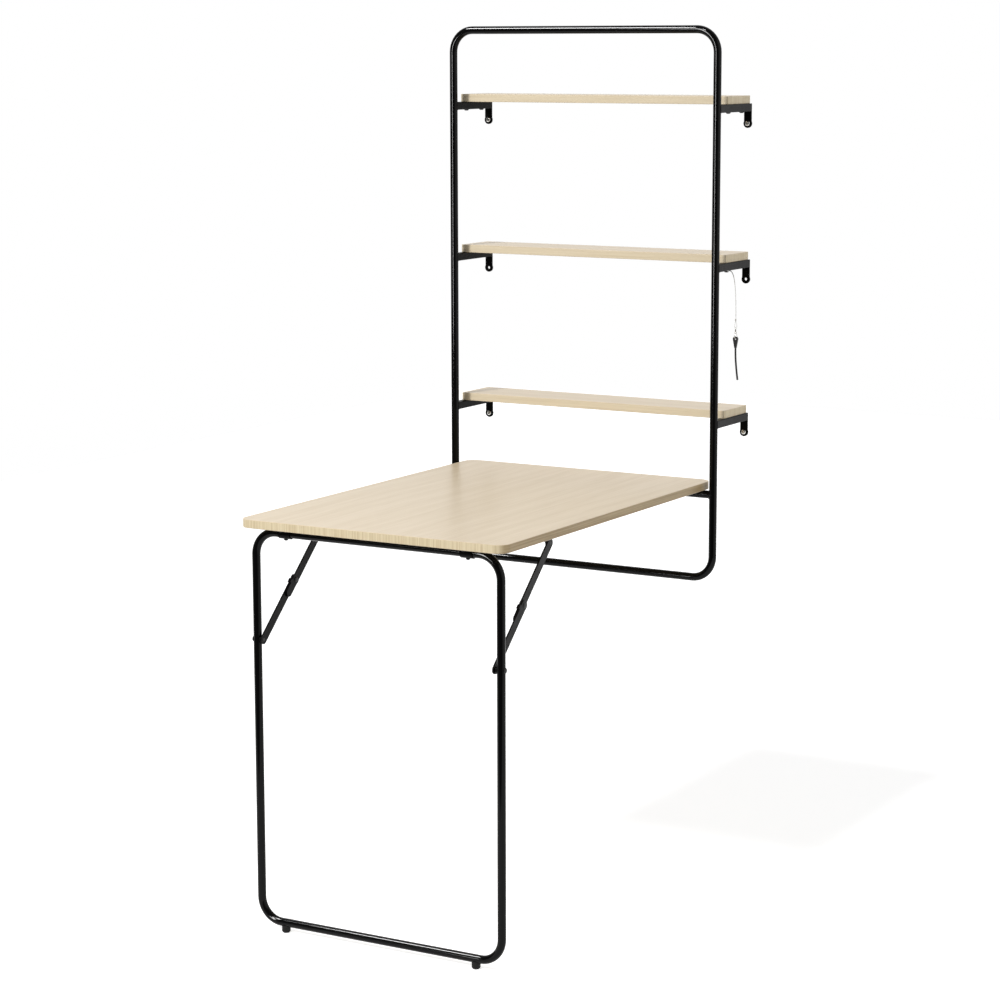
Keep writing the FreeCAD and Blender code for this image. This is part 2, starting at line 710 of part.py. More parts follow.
def build_upper_link(name, side):
    """Brace link from the bracket to the knee and past it, with the stop lug bent outwards."""
    knee = f"(-{LINK_LENGTH})"
    body = start_link(name, side, f"({knee} - Sizes.link_overrun)", "0", knee)
    lug_start = f"({knee} - Sizes.stop_offset)"
    lug_end = f"({lug_start} - Sizes.stop_length)"
    lug_low = "(Sizes.link_width / 2 + Sizes.link_gap)"
    lug_high = f"({lug_low} + Sizes.stop_thickness)"
    web = new_sketch(body, "YZ_Plane", "web")
    draw_rectangle(web, lug_end, "0", lug_start, lug_high)
    add_pad(body, web, "Sizes.link_thickness", backwards=side < 0)
    lug = new_sketch(body, "YZ_Plane", "lug")
    draw_rectangle(lug, lug_end, lug_low, lug_start, lug_high)
    add_pad(body, lug, "(2 * Sizes.link_thickness + Sizes.link_gap)", backwards=side < 0)
    finish_link(body, side, UPPER_LINK_X, ANCHOR_Y, ANCHOR_Z,
                [("0", "running_clearance"), (knee, "fixed_clearance")])


def build_lower_link(name, side):
    """Brace link from the leg's rivet up to the knee."""
    body = start_link(name, side, "0", LINK_LENGTH, LINK_LENGTH)
    finish_link(body, side, LOWER_LINK_X, LEG_Y, RIVET_Z,
                [("0", "running_clearance"), (LINK_LENGTH, "fixed_clearance")])


def build_spacer(name, side):
    """Round spacer between the leg tube and the lower link, coped to the tube."""
    body = new_body(name)
    ring = new_sketch(body, "YZ_Plane", "ring")
    draw_circle(ring, "0", "0", "(Sizes.spacer_diameter / 2)")
    draw_circle(ring, "0", "0", "(Sizes.rivet_diameter / 2 + Sizes.fixed_clearance)")
    add_pad(body, ring, f"(Sizes.spacer_length + {TUBE_RADIUS})", backwards=side < 0)
    cope = new_sketch(body, "XY_Plane", "cope")
    draw_circle(cope, on_side(side, f"(Sizes.spacer_length + {TUBE_RADIUS})"), "0",
                f"({TUBE_RADIUS} + Sizes.fixed_clearance)")
    add_through_cut(body, cope)
    place(body, on_side(side, SPACER_X), LEG_Y, RIVET_Z)


# ---------------------------------------------------------------- screws and rivets

def draw_headed_pin(body, head_diameter, head_height, shank_diameter, shank_length):
    """A bevelled pan head below the origin and a plain shank above it, turned about Z."""
    edge = f"({head_height} / 2)"
    profile = new_sketch(body, "XZ_Plane", "profile")
    draw_path(profile, [("0", f"(-{head_height})"),
                        (f"({head_diameter} / 2 - {edge})", f"(-{head_height})"),
                        (f"({head_diameter} / 2)", f"(-{edge})"),
                        (f"({head_diameter} / 2)", "0"),
                        (f"({shank_diameter} / 2)", "0"),
                        (f"({shank_diameter} / 2)", shank_length),
                        ("0", shank_length)])
    turned = body.newObject("PartDesign::Revolution", f"{body.Name}_turned")
    turned.Profile = (profile, [""])
    turned.ReferenceAxis = (profile, ["V_Axis"])
    turned.Angle = 360
    return body


def build_rivet_group(name, shank_length, head_height, head_face, outwards, along, up):
    """A left and a right rivet, each with its head on the given face of the brace's layers."""
    master = draw_headed_pin(new_master(f"{name}_master"), "Sizes.rivet_head", head_height,
                             "Sizes.rivet_diameter", shank_length)
    new_group(name, [(master, (on_side(side, head_face), along, up), 90 * side * outwards)
                     for side in SIDES.values()])


def build_knee_pin(name, side, head_height, head_face, outwards):
    """One half of a knee rivet: its head, and a shank as long as its link is thick."""
    body = draw_headed_pin(new_body(name), "Sizes.rivet_head", head_height,
                           "Sizes.rivet_diameter", "Sizes.link_thickness")
    place(body, on_side(side, head_face), KNEE_Y, KNEE_Z,
          axis=Vector(0, 1, 0), turn=90 * side * outwards)


# ---------------------------------------------------------------- lanyard

def make_cord(steps, diameter):
    """A round cord along straight runs joined by tangent arcs. Returns it and its arc radii."""
    points = [Vector(*step) for step in steps]
    edges, radii = [], []
    start = points[0]
    for before, corner, after in zip(points, points[1:], points[2:]):
        back, ahead = before - corner, after - corner
        turn = math.pi - back.getAngle(ahead)
        setback = ARC_SHARE * min(back.Length, ahead.Length)
        radii.append(setback / math.tan(turn / 2))
        first = corner + back.normalize() * setback
        last = corner + ahead.normalize() * setback
        to_centre = (back + ahead).normalize() * (radii[-1] / math.cos(turn / 2))
        middle = corner + to_centre * (1 - radii[-1] / to_centre.Length)
        edges += [Part.LineSegment(start, first).toShape(), Part.Arc(first, middle, last).toShape()]
        start = last
    edges.append(Part.LineSegment(start, points[-1]).toShape())
    path = Part.Wire(edges)
    section = Part.Wire(Part.Circle(points[0], points[1] - points[0], diameter / 2).toShape())
    cord = path.makePipeShell([section], True, True)
    share = cord.Volume / (math.pi * diameter ** 2 / 4 * path.Length)
    print(f"cord {path.Length:.1f} long, radii {[round(radius, 1) for radius in radii]}, "
          f"volume {share:.4f} of section times length")
    return cord


def add_cord(name, steps, diameter, along, up):
    """A cord as a sub-part of its own, its route starting at the given place."""
    cord = doc.addObject("Part::Feature", name)
    cord.Label = name
    cord.Shape = make_cord(steps, number(diameter))
    place(cord, LANYARD_X, along, up)
    sub_parts.append(cord)


def build_eyelet():
    """Ring terminal clamped under the screw head, with a barrel that grips the thin cord."""
    body = new_body("lanyard_eyelet")
    ring = new_sketch(body, "XY_Plane", "ring")
    draw_circle(ring, "0", "0", "(Sizes.eyelet_diameter / 2)")
    add_pad(body, ring, "Sizes.eyelet_thickness", backwards=True)
    half = "(Sizes.barrel_diameter / 2)"
    tab = new_sketch(body, "XY_Plane", "tab")
    draw_rectangle(tab, f"(-{half})", "0", half, f"({BARREL_START} + {half})")
    add_pad(body, tab, "Sizes.eyelet_thickness", backwards=True)
    barrel = new_sketch(body, "XZ_Plane", "barrel", offset=f"(-{BARREL_START})")
    draw_circle(barrel, "0", f"(-{half})", half)
    add_pad(body, barrel, "Sizes.barrel_length", backwards=True)
    hole = new_sketch(body, "XY_Plane", "hole")
    draw_circle(hole, "0", "0", "(Sizes.shelf_screw_shank / 2 + Sizes.fixed_clearance)")
    add_through_cut(body, hole)
    place(body, LANYARD_X, EYELET_Y, EYELET_Z)


def build_crimp(along, bottom):
    """Short sleeve that joins the thin cord to its end loop."""
    body = new_body("lanyard_crimp")
    sleeve = new_sketch(body, "XY_Plane", "sleeve")
    draw_circle(sleeve, "0", "0", "(Sizes.crimp_diameter / 2)")
    add_pad(body, sleeve, "Sizes.crimp_length")
    place(body, LANYARD_X, along, bottom)


def add_wire_ring(body, purpose, height, axis, radius, wire):
    """A ring of wire, centred at a height on the body's Z axis and turned about its X or Y."""
    section = new_sketch(body, "XY_Plane", purpose, offset=height)
    centre = ("0", radius) if axis == "H_Axis" else (radius, "0")
    angles = [2 * math.pi * corner / WIRE_CORNERS for corner in range(WIRE_CORNERS)]
    draw_path(section, [(f"({centre[0]} + {wire} / 2 * {math.cos(angle):.6f})",
                         f"({centre[1]} + {wire} / 2 * {math.sin(angle):.6f})")
                        for angle in angles])
    ring = body.newObject("PartDesign::Revolution", f"{section.Name}_turned")
    ring.Profile = (section, [""])
    ring.ReferenceAxis = (section, [axis])
    ring.Angle = 360


def build_swivel(along, top_bar):
    """Two wire eyes at right angles on a small barrel, the upper one round the loop's bar."""
    eye = "((Sizes.swivel_eye + Sizes.swivel_wire) / 2)"
    upper_z = f"({top_bar} + Sizes.loop_cord_diameter / 2 + Sizes.hanging_clearance" \
              " - Sizes.swivel_eye / 2)"
    lower = f"(-2 * {eye} - Sizes.swivel_length)"
    body = new_body("lanyard_swivel")
    add_wire_ring(body, "upper_eye", "0", "H_Axis", eye, "Sizes.swivel_wire")
    barrel = new_sketch(body, "XY_Plane", "barrel", offset=f"(-{eye})")
    draw_circle(barrel, "0", "0", "(Sizes.swivel_diameter / 2)")
    add_pad(body, barrel, "Sizes.swivel_length", backwards=True)
    add_wire_ring(body, "lower_eye", lower, "V_Axis", eye, "Sizes.swivel_wire")
    place(body, LANYARD_X, along, upper_z)
    return f"({upper_z} + {lower} - Sizes.swivel_eye / 2)"


def build_ring(along, resting_on):
    """Wire ring through the swivel's lower eye, which it rests in."""
    body = new_body("lanyard_ring")
    add_wire_ring(body, "wire", "0", "H_Axis", "(Sizes.ring_diameter / 2)", "Sizes.ring_wire")
    centre = f"({resting_on} + Sizes.hanging_clearance + (Sizes.ring_wire - Sizes.ring_diameter) / 2)"
    place(body, LANYARD_X, along, centre)
    return f"({centre} - Sizes.ring_diameter / 2)"


def build_pull_eye(along, ring_bottom):
    """Flat moulded eye on the ring, tapering to the pull cord below it."""
    body = new_body("lanyard_pull_eye")
    rim = new_sketch(body, "XZ_Plane", "rim")
    draw_circle(rim, "0", "0", "(Sizes.pull_eye_diameter / 2)")
    add_pad(body, rim, "Sizes.pull_eye_thickness", symmetric=True)
    taper = new_sketch(body, "XZ_Plane", "taper")
    shoulder, tail = "(Sizes.pull_eye_diameter / 2)", "(Sizes.pull_cord_diameter / 2)"
    bottom = "(-Sizes.pull_eye_length)"
    draw_path(taper, [(f"(-{shoulder})", "0"), (f"(-{tail})", bottom), (tail, bottom),
                      (shoulder, "0")])
    add_pad(body, taper, "Sizes.pull_eye_thickness", symmetric=True)
    hole = new_sketch(body, "XZ_Plane", "hole")
    draw_circle(hole, "0", "0", "(Sizes.pull_eye_hole / 2)")
    add_through_cut(body, hole)
    inside = "((Sizes.ring_diameter - Sizes.ring_wire) / 2)"
    rise = f"({inside} - sqrt({inside} ^ 2 - Sizes.pull_eye_thickness ^ 2 / 4))"
    centre = (f"({ring_bottom} + Sizes.ring_wire / 2 + {rise} + Sizes.hanging_clearance"
              " - Sizes.pull_eye_hole / 2)")
    place(body, LANYARD_X, along, centre)
    return f"({centre} - Sizes.pull_eye_length)"


def build_lanyard():
    """Pull cord that hangs from the front screw of the middle right arm."""
    build_eyelet()
    add_cord("lanyard_cord", [(0, *step) for step in THIN_CORD_ROUTE],
             "Sizes.thin_cord_diameter", CORD_Y, CORD_Z)
    end_along, end_up = THIN_CORD_ROUTE[-1]
    along = f"({CORD_Y} + {end_along})"
    crimp_top = f"({CORD_Z} + {end_up})"
    crimp_bottom = f"({crimp_top} - Sizes.crimp_length)"
    build_crimp(along, crimp_bottom)
    loop_top = f"({crimp_bottom} - Sizes.hanging_clearance)"
    strand, half, low = (number(expression) for expression in (
        "(Sizes.loop_cord_diameter / 2 + Sizes.fixed_clearance)", "(Sizes.loop_width / 2)",
        "(-Sizes.loop_height)"))
    add_cord("lanyard_loop", [(-strand, 0, 0), (-half, 0, low), (half, 0, low), (strand, 0, 0)],
             "Sizes.loop_cord_diameter", along, loop_top)
    swivel_rest = build_swivel(along, f"({loop_top} - Sizes.loop_height)")
    ring_bottom = build_ring(along, swivel_rest)
    pull_top = build_pull_eye(along, ring_bottom)
    add_cord("lanyard_pull_cord", [(0, *step) for step in PULL_CORD_ROUTE],
             "Sizes.pull_cord_diameter", along, pull_top)


# ---------------------------------------------------------------- build

def build_wall_frame():
    """Everything that stays on the wall, apart from the lanyard."""
    for side_name, side in SIDES.items():
        build_frame_tube(f"frame_tube_{side_name}", side)
    build_cross_tube()
    screws = [draw_headed_pin(new_master(f"{kind}_shelf_screw"), "Sizes.shelf_screw_head",
                              "Sizes.shelf_screw_head_height", "Sizes.shelf_screw_shank",
                              f"({clamped} + Sizes.shelf_screw_bite)")
              for kind, clamped in (("through", "Sizes.arm_side"), ("recessed", "Sizes.arm_wall"))]
    for level_name, level in LEVELS.items():
        for side_name, side in SIDES.items():
            build_arm(f"arm_{level_name}_{side_name}", side, level)
            build_wall_plate(f"wall_plate_{level_name}_{side_name}", side, level)
        build_shelf(f"shelf_{level_name}", level)
        build_shelf_screws(f"shelf_screws_{level_name}", level, *screws)


def build_leaf():
    """The tabletop with its saddles, brackets and their fasteners."""
    build_tabletop()
    screw = draw_headed_pin(new_master("board_screw_master"), "Sizes.board_screw_head",
                            "Sizes.board_screw_head_height", "Sizes.board_screw_shank",
                            "(Sizes.saddle_thickness + Sizes.board_screw_bite)")
    under_ear = f"({BOARD_BOTTOM} - Sizes.saddle_thickness)"
    for kind, where, retained in (("hinge", HINGE_SADDLES, False), ("leg", LEG_SADDLES, True)):
        for side_name, side in SIDES.items():
            build_saddle(f"{kind}_saddle_{side_name}", side, *where, retained)
        new_group(f"{kind}_saddle_screws", [(screw, (*screw_place, under_ear), 0)
                                            for screw_place in saddle_screw_places(*where)])

    retainer = draw_headed_pin(new_master("retaining_screw_master"), "Sizes.retaining_screw_head",
                               "Sizes.retaining_screw_head_height",
                               "Sizes.retaining_screw_shank", "Sizes.saddle_thickness")
    under_strap = (f"({HINGE_Z} - {TUBE_RADIUS} - Sizes.running_clearance"
                   " - Sizes.saddle_thickness)")
    new_group("leg_retaining_screws",
              [(retainer, (on_side(side, LEG_SADDLES[0]), LEG_Y, under_strap), 0)
               for side in SIDES.values()])

    for side_name, side in SIDES.items():
        build_bracket(f"brace_bracket_{side_name}", side)
    bracket_screw = draw_headed_pin(new_master("bracket_screw_master"), "Sizes.board_screw_head",
                                    "Sizes.board_screw_head_height", "Sizes.board_screw_shank",
                                    "(Sizes.bracket_thickness + Sizes.board_screw_bite)")
    under_base = f"({BOARD_BOTTOM} - Sizes.bracket_thickness)"
    new_group("brace_bracket_screws", [(bracket_screw, (*where, under_base), 0)
                                       for where in bracket_screw_places()])
    build_rivet_group("anchor_rivets",
                      "(Sizes.bracket_thickness + Sizes.link_gap + Sizes.link_thickness)",
                      "Sizes.rivet_head_height", f"({BRACKET_X} - Sizes.bracket_thickness)",
                      1, ANCHOR_Y, ANCHOR_Z)


def build_leg():
    """The leg with its feet and the rivets that carry the lower links."""
    for side_name, side in SIDES.items():
        build_leg_tube(f"leg_tube_{side_name}", side)
        build_foot(f"foot_{side_name}", side)
        build_spacer(f"brace_spacer_{side_name}", side)
    build_rivet_group("leg_rivets",
                      "(Sizes.tube_diameter + Sizes.spacer_length + Sizes.link_thickness)",
                      "Sizes.rivet_head_height", f"({LEG_X} + {TUBE_RADIUS})",
                      -1, LEG_Y, RIVET_Z)


def build_braces():
    """Both braces, each an upper and a lower link with its half of the knee rivet."""
    for side_name, side in SIDES.items():
        build_upper_link(f"brace_upper_link_{side_name}", side)
        build_knee_pin(f"knee_rivet_{side_name}", side, "Sizes.rivet_head_height",
                       UPPER_LINK_X, 1)
        build_lower_link(f"brace_lower_link_{side_name}", side)
        build_knee_pin(f"knee_rivet_tail_{side_name}", side, "Sizes.rivet_tail_height",
                       SPACER_X, -1)


# ---------------------------------------------------------------- check and write

def check_model():
    """Stop if any object failed, any cut missed, or any sub-part has no sound shape."""
    for item in doc.Objects:
        if "Invalid" in item.State or "Error" in item.State:
            raise RuntimeError(f"{item.Name} failed: {item.State}")
        if item.TypeId == "PartDesign::Pocket":
            removed = item.BaseFeature.Shape.Volume - item.Shape.Volume
            if removed <= 0:
                raise RuntimeError(f"{item.Name} cuts nothing")
    for piece in sub_parts:
        if piece.Shape.isNull() or not piece.Shape.isValid():
            raise RuntimeError(f"{piece.Label} has no sound shape")


def write_parts():
    """One STEP file for each sub-part, named after it."""
    os.makedirs("parts", exist_ok=True)
    for piece in sub_parts:
        piece.Shape.exportStep(f"parts/{piece.Label}.step")
        print(f"{piece.Label}: {len(piece.Shape.Solids)} solid(s), "
              f"{piece.Shape.Volume / 1000:.2f} cm3")


fill_sheet()
build_wall_frame()
build_lanyard()
build_leaf()
build_leg()
build_braces()
doc.recompute()
check_model()
write_parts()
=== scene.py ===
"""Looks of the wall mounted drop leaf table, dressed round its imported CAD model.

Places are in metres in the model's frame: the wall is y = 0, +X runs right and +Z up. Small
turned pieces are first made in millimetres about their own axis and then set in place.
"""
import json
import math

import bmesh
import bpy
from mathutils import Matrix, Vector

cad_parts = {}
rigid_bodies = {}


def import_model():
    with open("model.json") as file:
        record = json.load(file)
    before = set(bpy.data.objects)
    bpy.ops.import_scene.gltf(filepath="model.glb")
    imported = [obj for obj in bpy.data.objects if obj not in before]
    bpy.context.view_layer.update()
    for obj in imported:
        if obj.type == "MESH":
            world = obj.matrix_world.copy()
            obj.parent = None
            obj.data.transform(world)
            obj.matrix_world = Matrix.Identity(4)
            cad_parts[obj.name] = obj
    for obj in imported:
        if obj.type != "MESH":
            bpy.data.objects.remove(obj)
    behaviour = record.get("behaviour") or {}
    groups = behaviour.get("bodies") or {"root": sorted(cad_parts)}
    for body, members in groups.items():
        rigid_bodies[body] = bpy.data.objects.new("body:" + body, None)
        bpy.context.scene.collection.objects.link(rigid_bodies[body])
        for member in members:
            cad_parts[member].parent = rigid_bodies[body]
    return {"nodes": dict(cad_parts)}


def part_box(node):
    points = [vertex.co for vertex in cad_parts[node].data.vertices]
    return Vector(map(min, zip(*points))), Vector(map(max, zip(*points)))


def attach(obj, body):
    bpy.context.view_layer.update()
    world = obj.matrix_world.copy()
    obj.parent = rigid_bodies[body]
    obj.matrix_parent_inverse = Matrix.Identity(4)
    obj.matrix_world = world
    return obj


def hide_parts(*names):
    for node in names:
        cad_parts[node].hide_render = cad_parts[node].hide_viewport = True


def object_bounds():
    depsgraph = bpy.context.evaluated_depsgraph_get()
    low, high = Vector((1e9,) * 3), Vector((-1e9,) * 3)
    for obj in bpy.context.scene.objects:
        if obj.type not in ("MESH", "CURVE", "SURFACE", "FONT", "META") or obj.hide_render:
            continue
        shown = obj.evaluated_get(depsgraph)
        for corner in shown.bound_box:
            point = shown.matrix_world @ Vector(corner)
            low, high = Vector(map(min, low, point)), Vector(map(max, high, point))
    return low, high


MM = 0.001
X, Y, Z = range(3)


# ---------------------------------------------------------------- the CAD model

def clear_startup_scene():
    """Take out what a new Blender file starts with."""
    for item in list(bpy.data.objects):
        bpy.data.objects.remove(item)


def lowest(node, axis):
    """Where a CAD node begins along an axis, to the nearest micrometre."""
    return round(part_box(node)[0][axis], 6)


def middle(node, axis):
    """Halfway along a CAD node's extent on an axis, to the nearest micrometre."""
    low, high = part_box(node)
    return round((low[axis] + high[axis]) / 2, 6)


def extent(node, axis):
    """How far a CAD node reaches along an axis, to the nearest micrometre."""
    low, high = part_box(node)
    return round(high[axis] - low[axis], 6)


clear_startup_scene()
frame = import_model()
cad_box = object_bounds()

# places and sizes read from the CAD nodes
FLOOR_Z = cad_box[0].z
FRAME_X = middle("arm_lower_right", X)
FRAME_Y = middle("cross_tube", Y)
HINGE_Z = middle("cross_tube", Z)
TUBE_RADIUS = extent("cross_tube", Y) / 2
ARM_SIDE = extent("arm_lower_right", X)
PLATE_FACE_Y = lowest("wall_plate_lower_right", Y)
SHELF_BOTTOMS = [lowest(f"shelf_{level}", Z) for level in ("lower", "middle", "top")]
HANG_Y = middle("lanyard_ring", Y)
CRIMP_Z = lowest("lanyard_crimp", Z)
RING_Z = middle("lanyard_ring", Z)

# sizes of the CAD model that no node's box shows
ARM_CORNER = 0.0018
WALL_HOLE_Z = 0.2945


# ---------------------------------------------------------------- camera

# the photograph's frame and the camera that fits it
IMAGE_WIDTH = 1000
SENSOR_WIDTH = 36.0
FOCAL_PIXELS = 2748.2343
CAMERA_PLACE = (2.51039, -4.77284, 0.45082)
CAMERA_YAW, CAMERA_PITCH, CAMERA_ROLL = 30.1404, 9.4986, -0.1305


def add_camera():
    """The camera that sees the table as the photograph does."""
    yaw, pitch, roll = (math.radians(angle) for angle in (CAMERA_YAW, CAMERA_PITCH, CAMERA_ROLL))
    forward = Vector((-math.sin(yaw) * math.cos(pitch), math.cos(yaw) * math.cos(pitch),
                      -math.sin(pitch)))
    level_right = Vector((math.cos(yaw), math.sin(yaw), 0))
    level_up = level_right.cross(forward)
    right = math.cos(roll) * level_right + math.sin(roll) * level_up
    up = math.cos(roll) * level_up - math.sin(roll) * level_right
    camera = bpy.data.objects.new("camera", bpy.data.cameras.new("camera"))
    camera.data.sensor_width = SENSOR_WIDTH
    camera.data.lens = FOCAL_PIXELS * SENSOR_WIDTH / IMAGE_WIDTH
    axes = Matrix((right, up, -forward)).transposed()
    camera.matrix_world = Matrix.Translation(CAMERA_PLACE) @ axes.to_4x4()
    bpy.context.scene.collection.objects.link(camera)
    bpy.context.scene.camera = camera


# ---------------------------------------------------------------- node helpers

# most of a noise's values lie between these
NOISE_LOW, NOISE_HIGH = 0.3, 0.7

# sockets of a Mix node, which gives several the same name: share, two numbers, two colours
MIX_SHARE, FIRST_NUMBER, SECOND_NUMBER, FIRST_COLOUR, SECOND_COLOUR = 0, 2, 3, 6, 7
MIXED_NUMBER, MIXED_COLOUR = 0, 2


def add_node(look, kind, inputs=None, **settings):
    """A shader node, with each input given as a value or as the output that feeds it."""
    node = look.node_tree.nodes.new("ShaderNode" + kind)
    for name, value in settings.items():
        setattr(node, name, value)
    for name, value in (inputs or {}).items():
        if isinstance(value, bpy.types.NodeSocket):
            look.node_tree.links.new(value, node.inputs[name])
        else:
            node.inputs[name].default_value = value
    return node


def place_on(look, scale=(1, 1, 1), turn=(0, 0, 0)):
    """The piece's own coordinates, stretched along each axis and then turned."""
    own = add_node(look, "TexCoord").outputs["Object"]
    return add_node(look, "Mapping", {"Vector": own, "Scale": scale, "Rotation": turn}).outputs[0]


def noise(look, lumps, detail=3.0, roughness=0.5, distortion=0.0):
    """Soft noise from 0 to 1. Lumps per metre are one number, or one for each axis."""
    scale = lumps if isinstance(lumps, tuple) else (lumps, lumps, lumps)
    return add_node(look, "TexNoise", {"Vector": place_on(look, scale), "Scale": 1.0,
                                       "Detail": detail, "Roughness": roughness,
                                       "Distortion": distortion}).outputs["Fac"]


def wave(look, vector, scale, direction, **inputs):
    """Parallel waves from 0 to 1, one after another along an axis."""
    named = {name.replace("_", " "): value for name, value in inputs.items()}
    return add_node(look, "TexWave", {"Vector": vector, "Scale": scale, **named},
                    bands_direction=direction).outputs["Fac"]


def maths(look, operation, first, second=0.0):
    """One sum on values or outputs."""
    return add_node(look, "Math", {0: first, 1: second}, operation=operation).outputs[0]


def spread(look, value, low, high, to_low=0.0, to_high=1.0):
    """A value moved from the range low..high to the range to_low..to_high, and kept in it."""
    return add_node(look, "MapRange", {"Value": value, "From Min": low, "From Max": high,
                                       "To Min": to_low, "To Max": to_high}).outputs["Result"]


def ramp(look, value, stops):
    """A colour read from a ramp of (position, (red, green, blue)) stops."""
    node = add_node(look, "ValToRGB", {"Fac": value})
    elements = node.color_ramp.elements
    while len(elements) < len(stops):
        elements.new(0.5)
    for element, (position, colour) in zip(elements, stops):
        element.position = position
        element.color = (*colour, 1.0)
    return node.outputs["Color"]


def blend_colours(look, share, first, second):
    """Two colours mixed by a share from 0 to 1."""
    first, second = (colour if isinstance(colour, bpy.types.NodeSocket) else (*colour, 1.0)
                     for colour in (first, second))
    mix = add_node(look, "Mix", {MIX_SHARE: share, FIRST_COLOUR: first, SECOND_COLOUR: second},
                   data_type="RGBA")
    return mix.outputs[MIXED_COLOUR]


def blend_numbers(look, share, first, second):
    """Two numbers mixed by a share from 0 to 1."""
    mix = add_node(look, "Mix", {MIX_SHARE: share, FIRST_NUMBER: first, SECOND_NUMBER: second})
    return mix.outputs[MIXED_NUMBER]


def new_look(name, colour, roughness, bump, bump_depth, **constants):
    """A material. Its colour, roughness and bump height are built by functions of the look."""
    look = bpy.data.materials.new(f"{name}_look")
    look.use_nodes = True
    shader = look.node_tree.nodes["Principled BSDF"]
    for constant, value in constants.items():
        shader.inputs[constant.replace("_", " ")].default_value = value
    links = look.node_tree.links
    links.new(colour(look), shader.inputs["Base Color"])
    links.new(roughness(look), shader.inputs["Roughness"])
    raised = add_node(look, "Bump", {"Height": bump(look), "Distance": bump_depth,
                                     "Strength": 1.0})
    links.new(raised.outputs["Normal"], shader.inputs["Normal"])
    return look


def mottled(lumps, dark, pale, low=NOISE_LOW, high=NOISE_HIGH):
    """A colour that drifts between two tones."""
    return lambda look: ramp(look, noise(look, lumps), [(low, dark), (high, pale)])


def uneven(lumps, glossy, dull, detail=3.0):
    """A roughness that drifts between two values."""
    return lambda look: spread(look, noise(look, lumps, detail), NOISE_LOW, NOISE_HIGH,
                               glossy, dull)


def grainy(lumps, detail):
    """A bump height of plain noise."""
    return lambda look: noise(look, lumps, detail)


# ---------------------------------------------------------------- finishes

# the cords: ridges or strands per metre with their slant in degrees, and the wire's painted shade
# at its top
BRAID_RIDGES, BRAID_SLANT = 260.0, 35
WIRE_STRANDS, STRAND_SLANT = 600.0, 28
PAINTED_SHADE_HEIGHTS = (0.000, 0.018)
PAINTED_SHADE_TONE = (0.06, 0.06, 0.06)


def tube_enamel():
    """Glossy black enamel on the round tubes, with a faint orange peel."""
    return new_look("black_steel", mottled(9, (0.0010, 0.0010, 0.0011), (0.0020, 0.0019, 0.0019)),
                    uneven(60, 0.095, 0.115, detail=4.0), grainy(180, detail=1.0),
                    bump_depth=0.000003, Specular_IOR_Level=0.12)


def flat_enamel():
    """Satin black enamel on the arms, plates, saddles and brace links."""
    return new_look("satin_steel", mottled(14, (0.0022, 0.0021, 0.0021), (0.0048, 0.0044, 0.0042)),
                    uneven(90, 0.30, 0.40, detail=4.0), grainy(700, detail=3.0),
                    bump_depth=0.00003, Specular_IOR_Level=0.05)


def dark_screws():
    """Black oxide on screws and rivets, duller than the enamel."""
    tones = mottled(300, (0.004, 0.004, 0.004), (0.010, 0.010, 0.009), low=0.35, high=0.75)
    return new_look("black_screws", tones, uneven(500, 0.30, 0.44), grainy(1500, detail=2.0),
                    bump_depth=0.00003, Specular_IOR_Level=0.30)


def bright_zinc():
    """Zinc plating with a slightly uneven shine."""
    return new_look("zinc", mottled(400, (0.52, 0.51, 0.48), (0.72, 0.71, 0.68)),
                    uneven(700, 0.12, 0.24), grainy((2500, 2500, 900), detail=2.0),
                    bump_depth=0.00001, Metallic=1.0)


def foot_rubber():
    """Matt black rubber."""
    return new_look("black_rubber", mottled(150, (0.004, 0.004, 0.004), (0.009, 0.009, 0.008)),
                    uneven(400, 0.50, 0.68), grainy(900, detail=3.0),
                    bump_depth=0.00008, Specular_IOR_Level=0.20)


def moulded_plastic():
    """Black moulded plastic with a fine spark-eroded grain."""
    return new_look("black_plastic", mottled(200, (0.008, 0.008, 0.009), (0.013, 0.013, 0.014)),
                    uneven(800, 0.36, 0.48), grainy(2200, detail=2.0), bump_depth=0.00004)


def braided_cord():
    """Black braid: two crossing sets of slanted ridges."""
    def ridges(look, slant):
        return wave(look, place_on(look, turn=(0, math.radians(slant), 0)), BRAID_RIDGES, "Z")

    def braid(look):
        return maths(look, "MULTIPLY", ridges(look, BRAID_SLANT), ridges(look, -BRAID_SLANT))

    return new_look("black_cord", mottled(900, (0.006, 0.006, 0.006), (0.020, 0.019, 0.018)),
                    uneven(600, 0.55, 0.75), braid, bump_depth=0.0003, Specular_IOR_Level=0.30)


def stranded_wire():
    """Pale stranded wire, darkened over its top under the arm by painted shade."""
    pale = mottled((900, 900, 300), (0.58, 0.58, 0.57), (0.74, 0.74, 0.72))
    slant = math.radians(STRAND_SLANT)

    def colour(look):
        height = add_node(look, "SeparateXYZ", {0: place_on(look)}).outputs["Z"]
        # painted shade: the wire turns dark towards its top, where it hangs under the arm
        painted_shade_share = spread(look, height, *PAINTED_SHADE_HEIGHTS)
        return blend_colours(look, painted_shade_share, pale(look), PAINTED_SHADE_TONE)

    def strands(look):
        return wave(look, place_on(look, turn=(slant, slant, 0)), WIRE_STRANDS, "Z")

    return new_look("thin_cord", colour, uneven((500, 500, 200), 0.32, 0.46), strands,
                    bump_depth=0.00002)


# ---------------------------------------------------------------- laminate

# a board's axes in the order along the grain, across it and up
GRAIN_ALONG_X = (X, Y, Z)
GRAIN_ALONG_Y = (Y, X, Z)

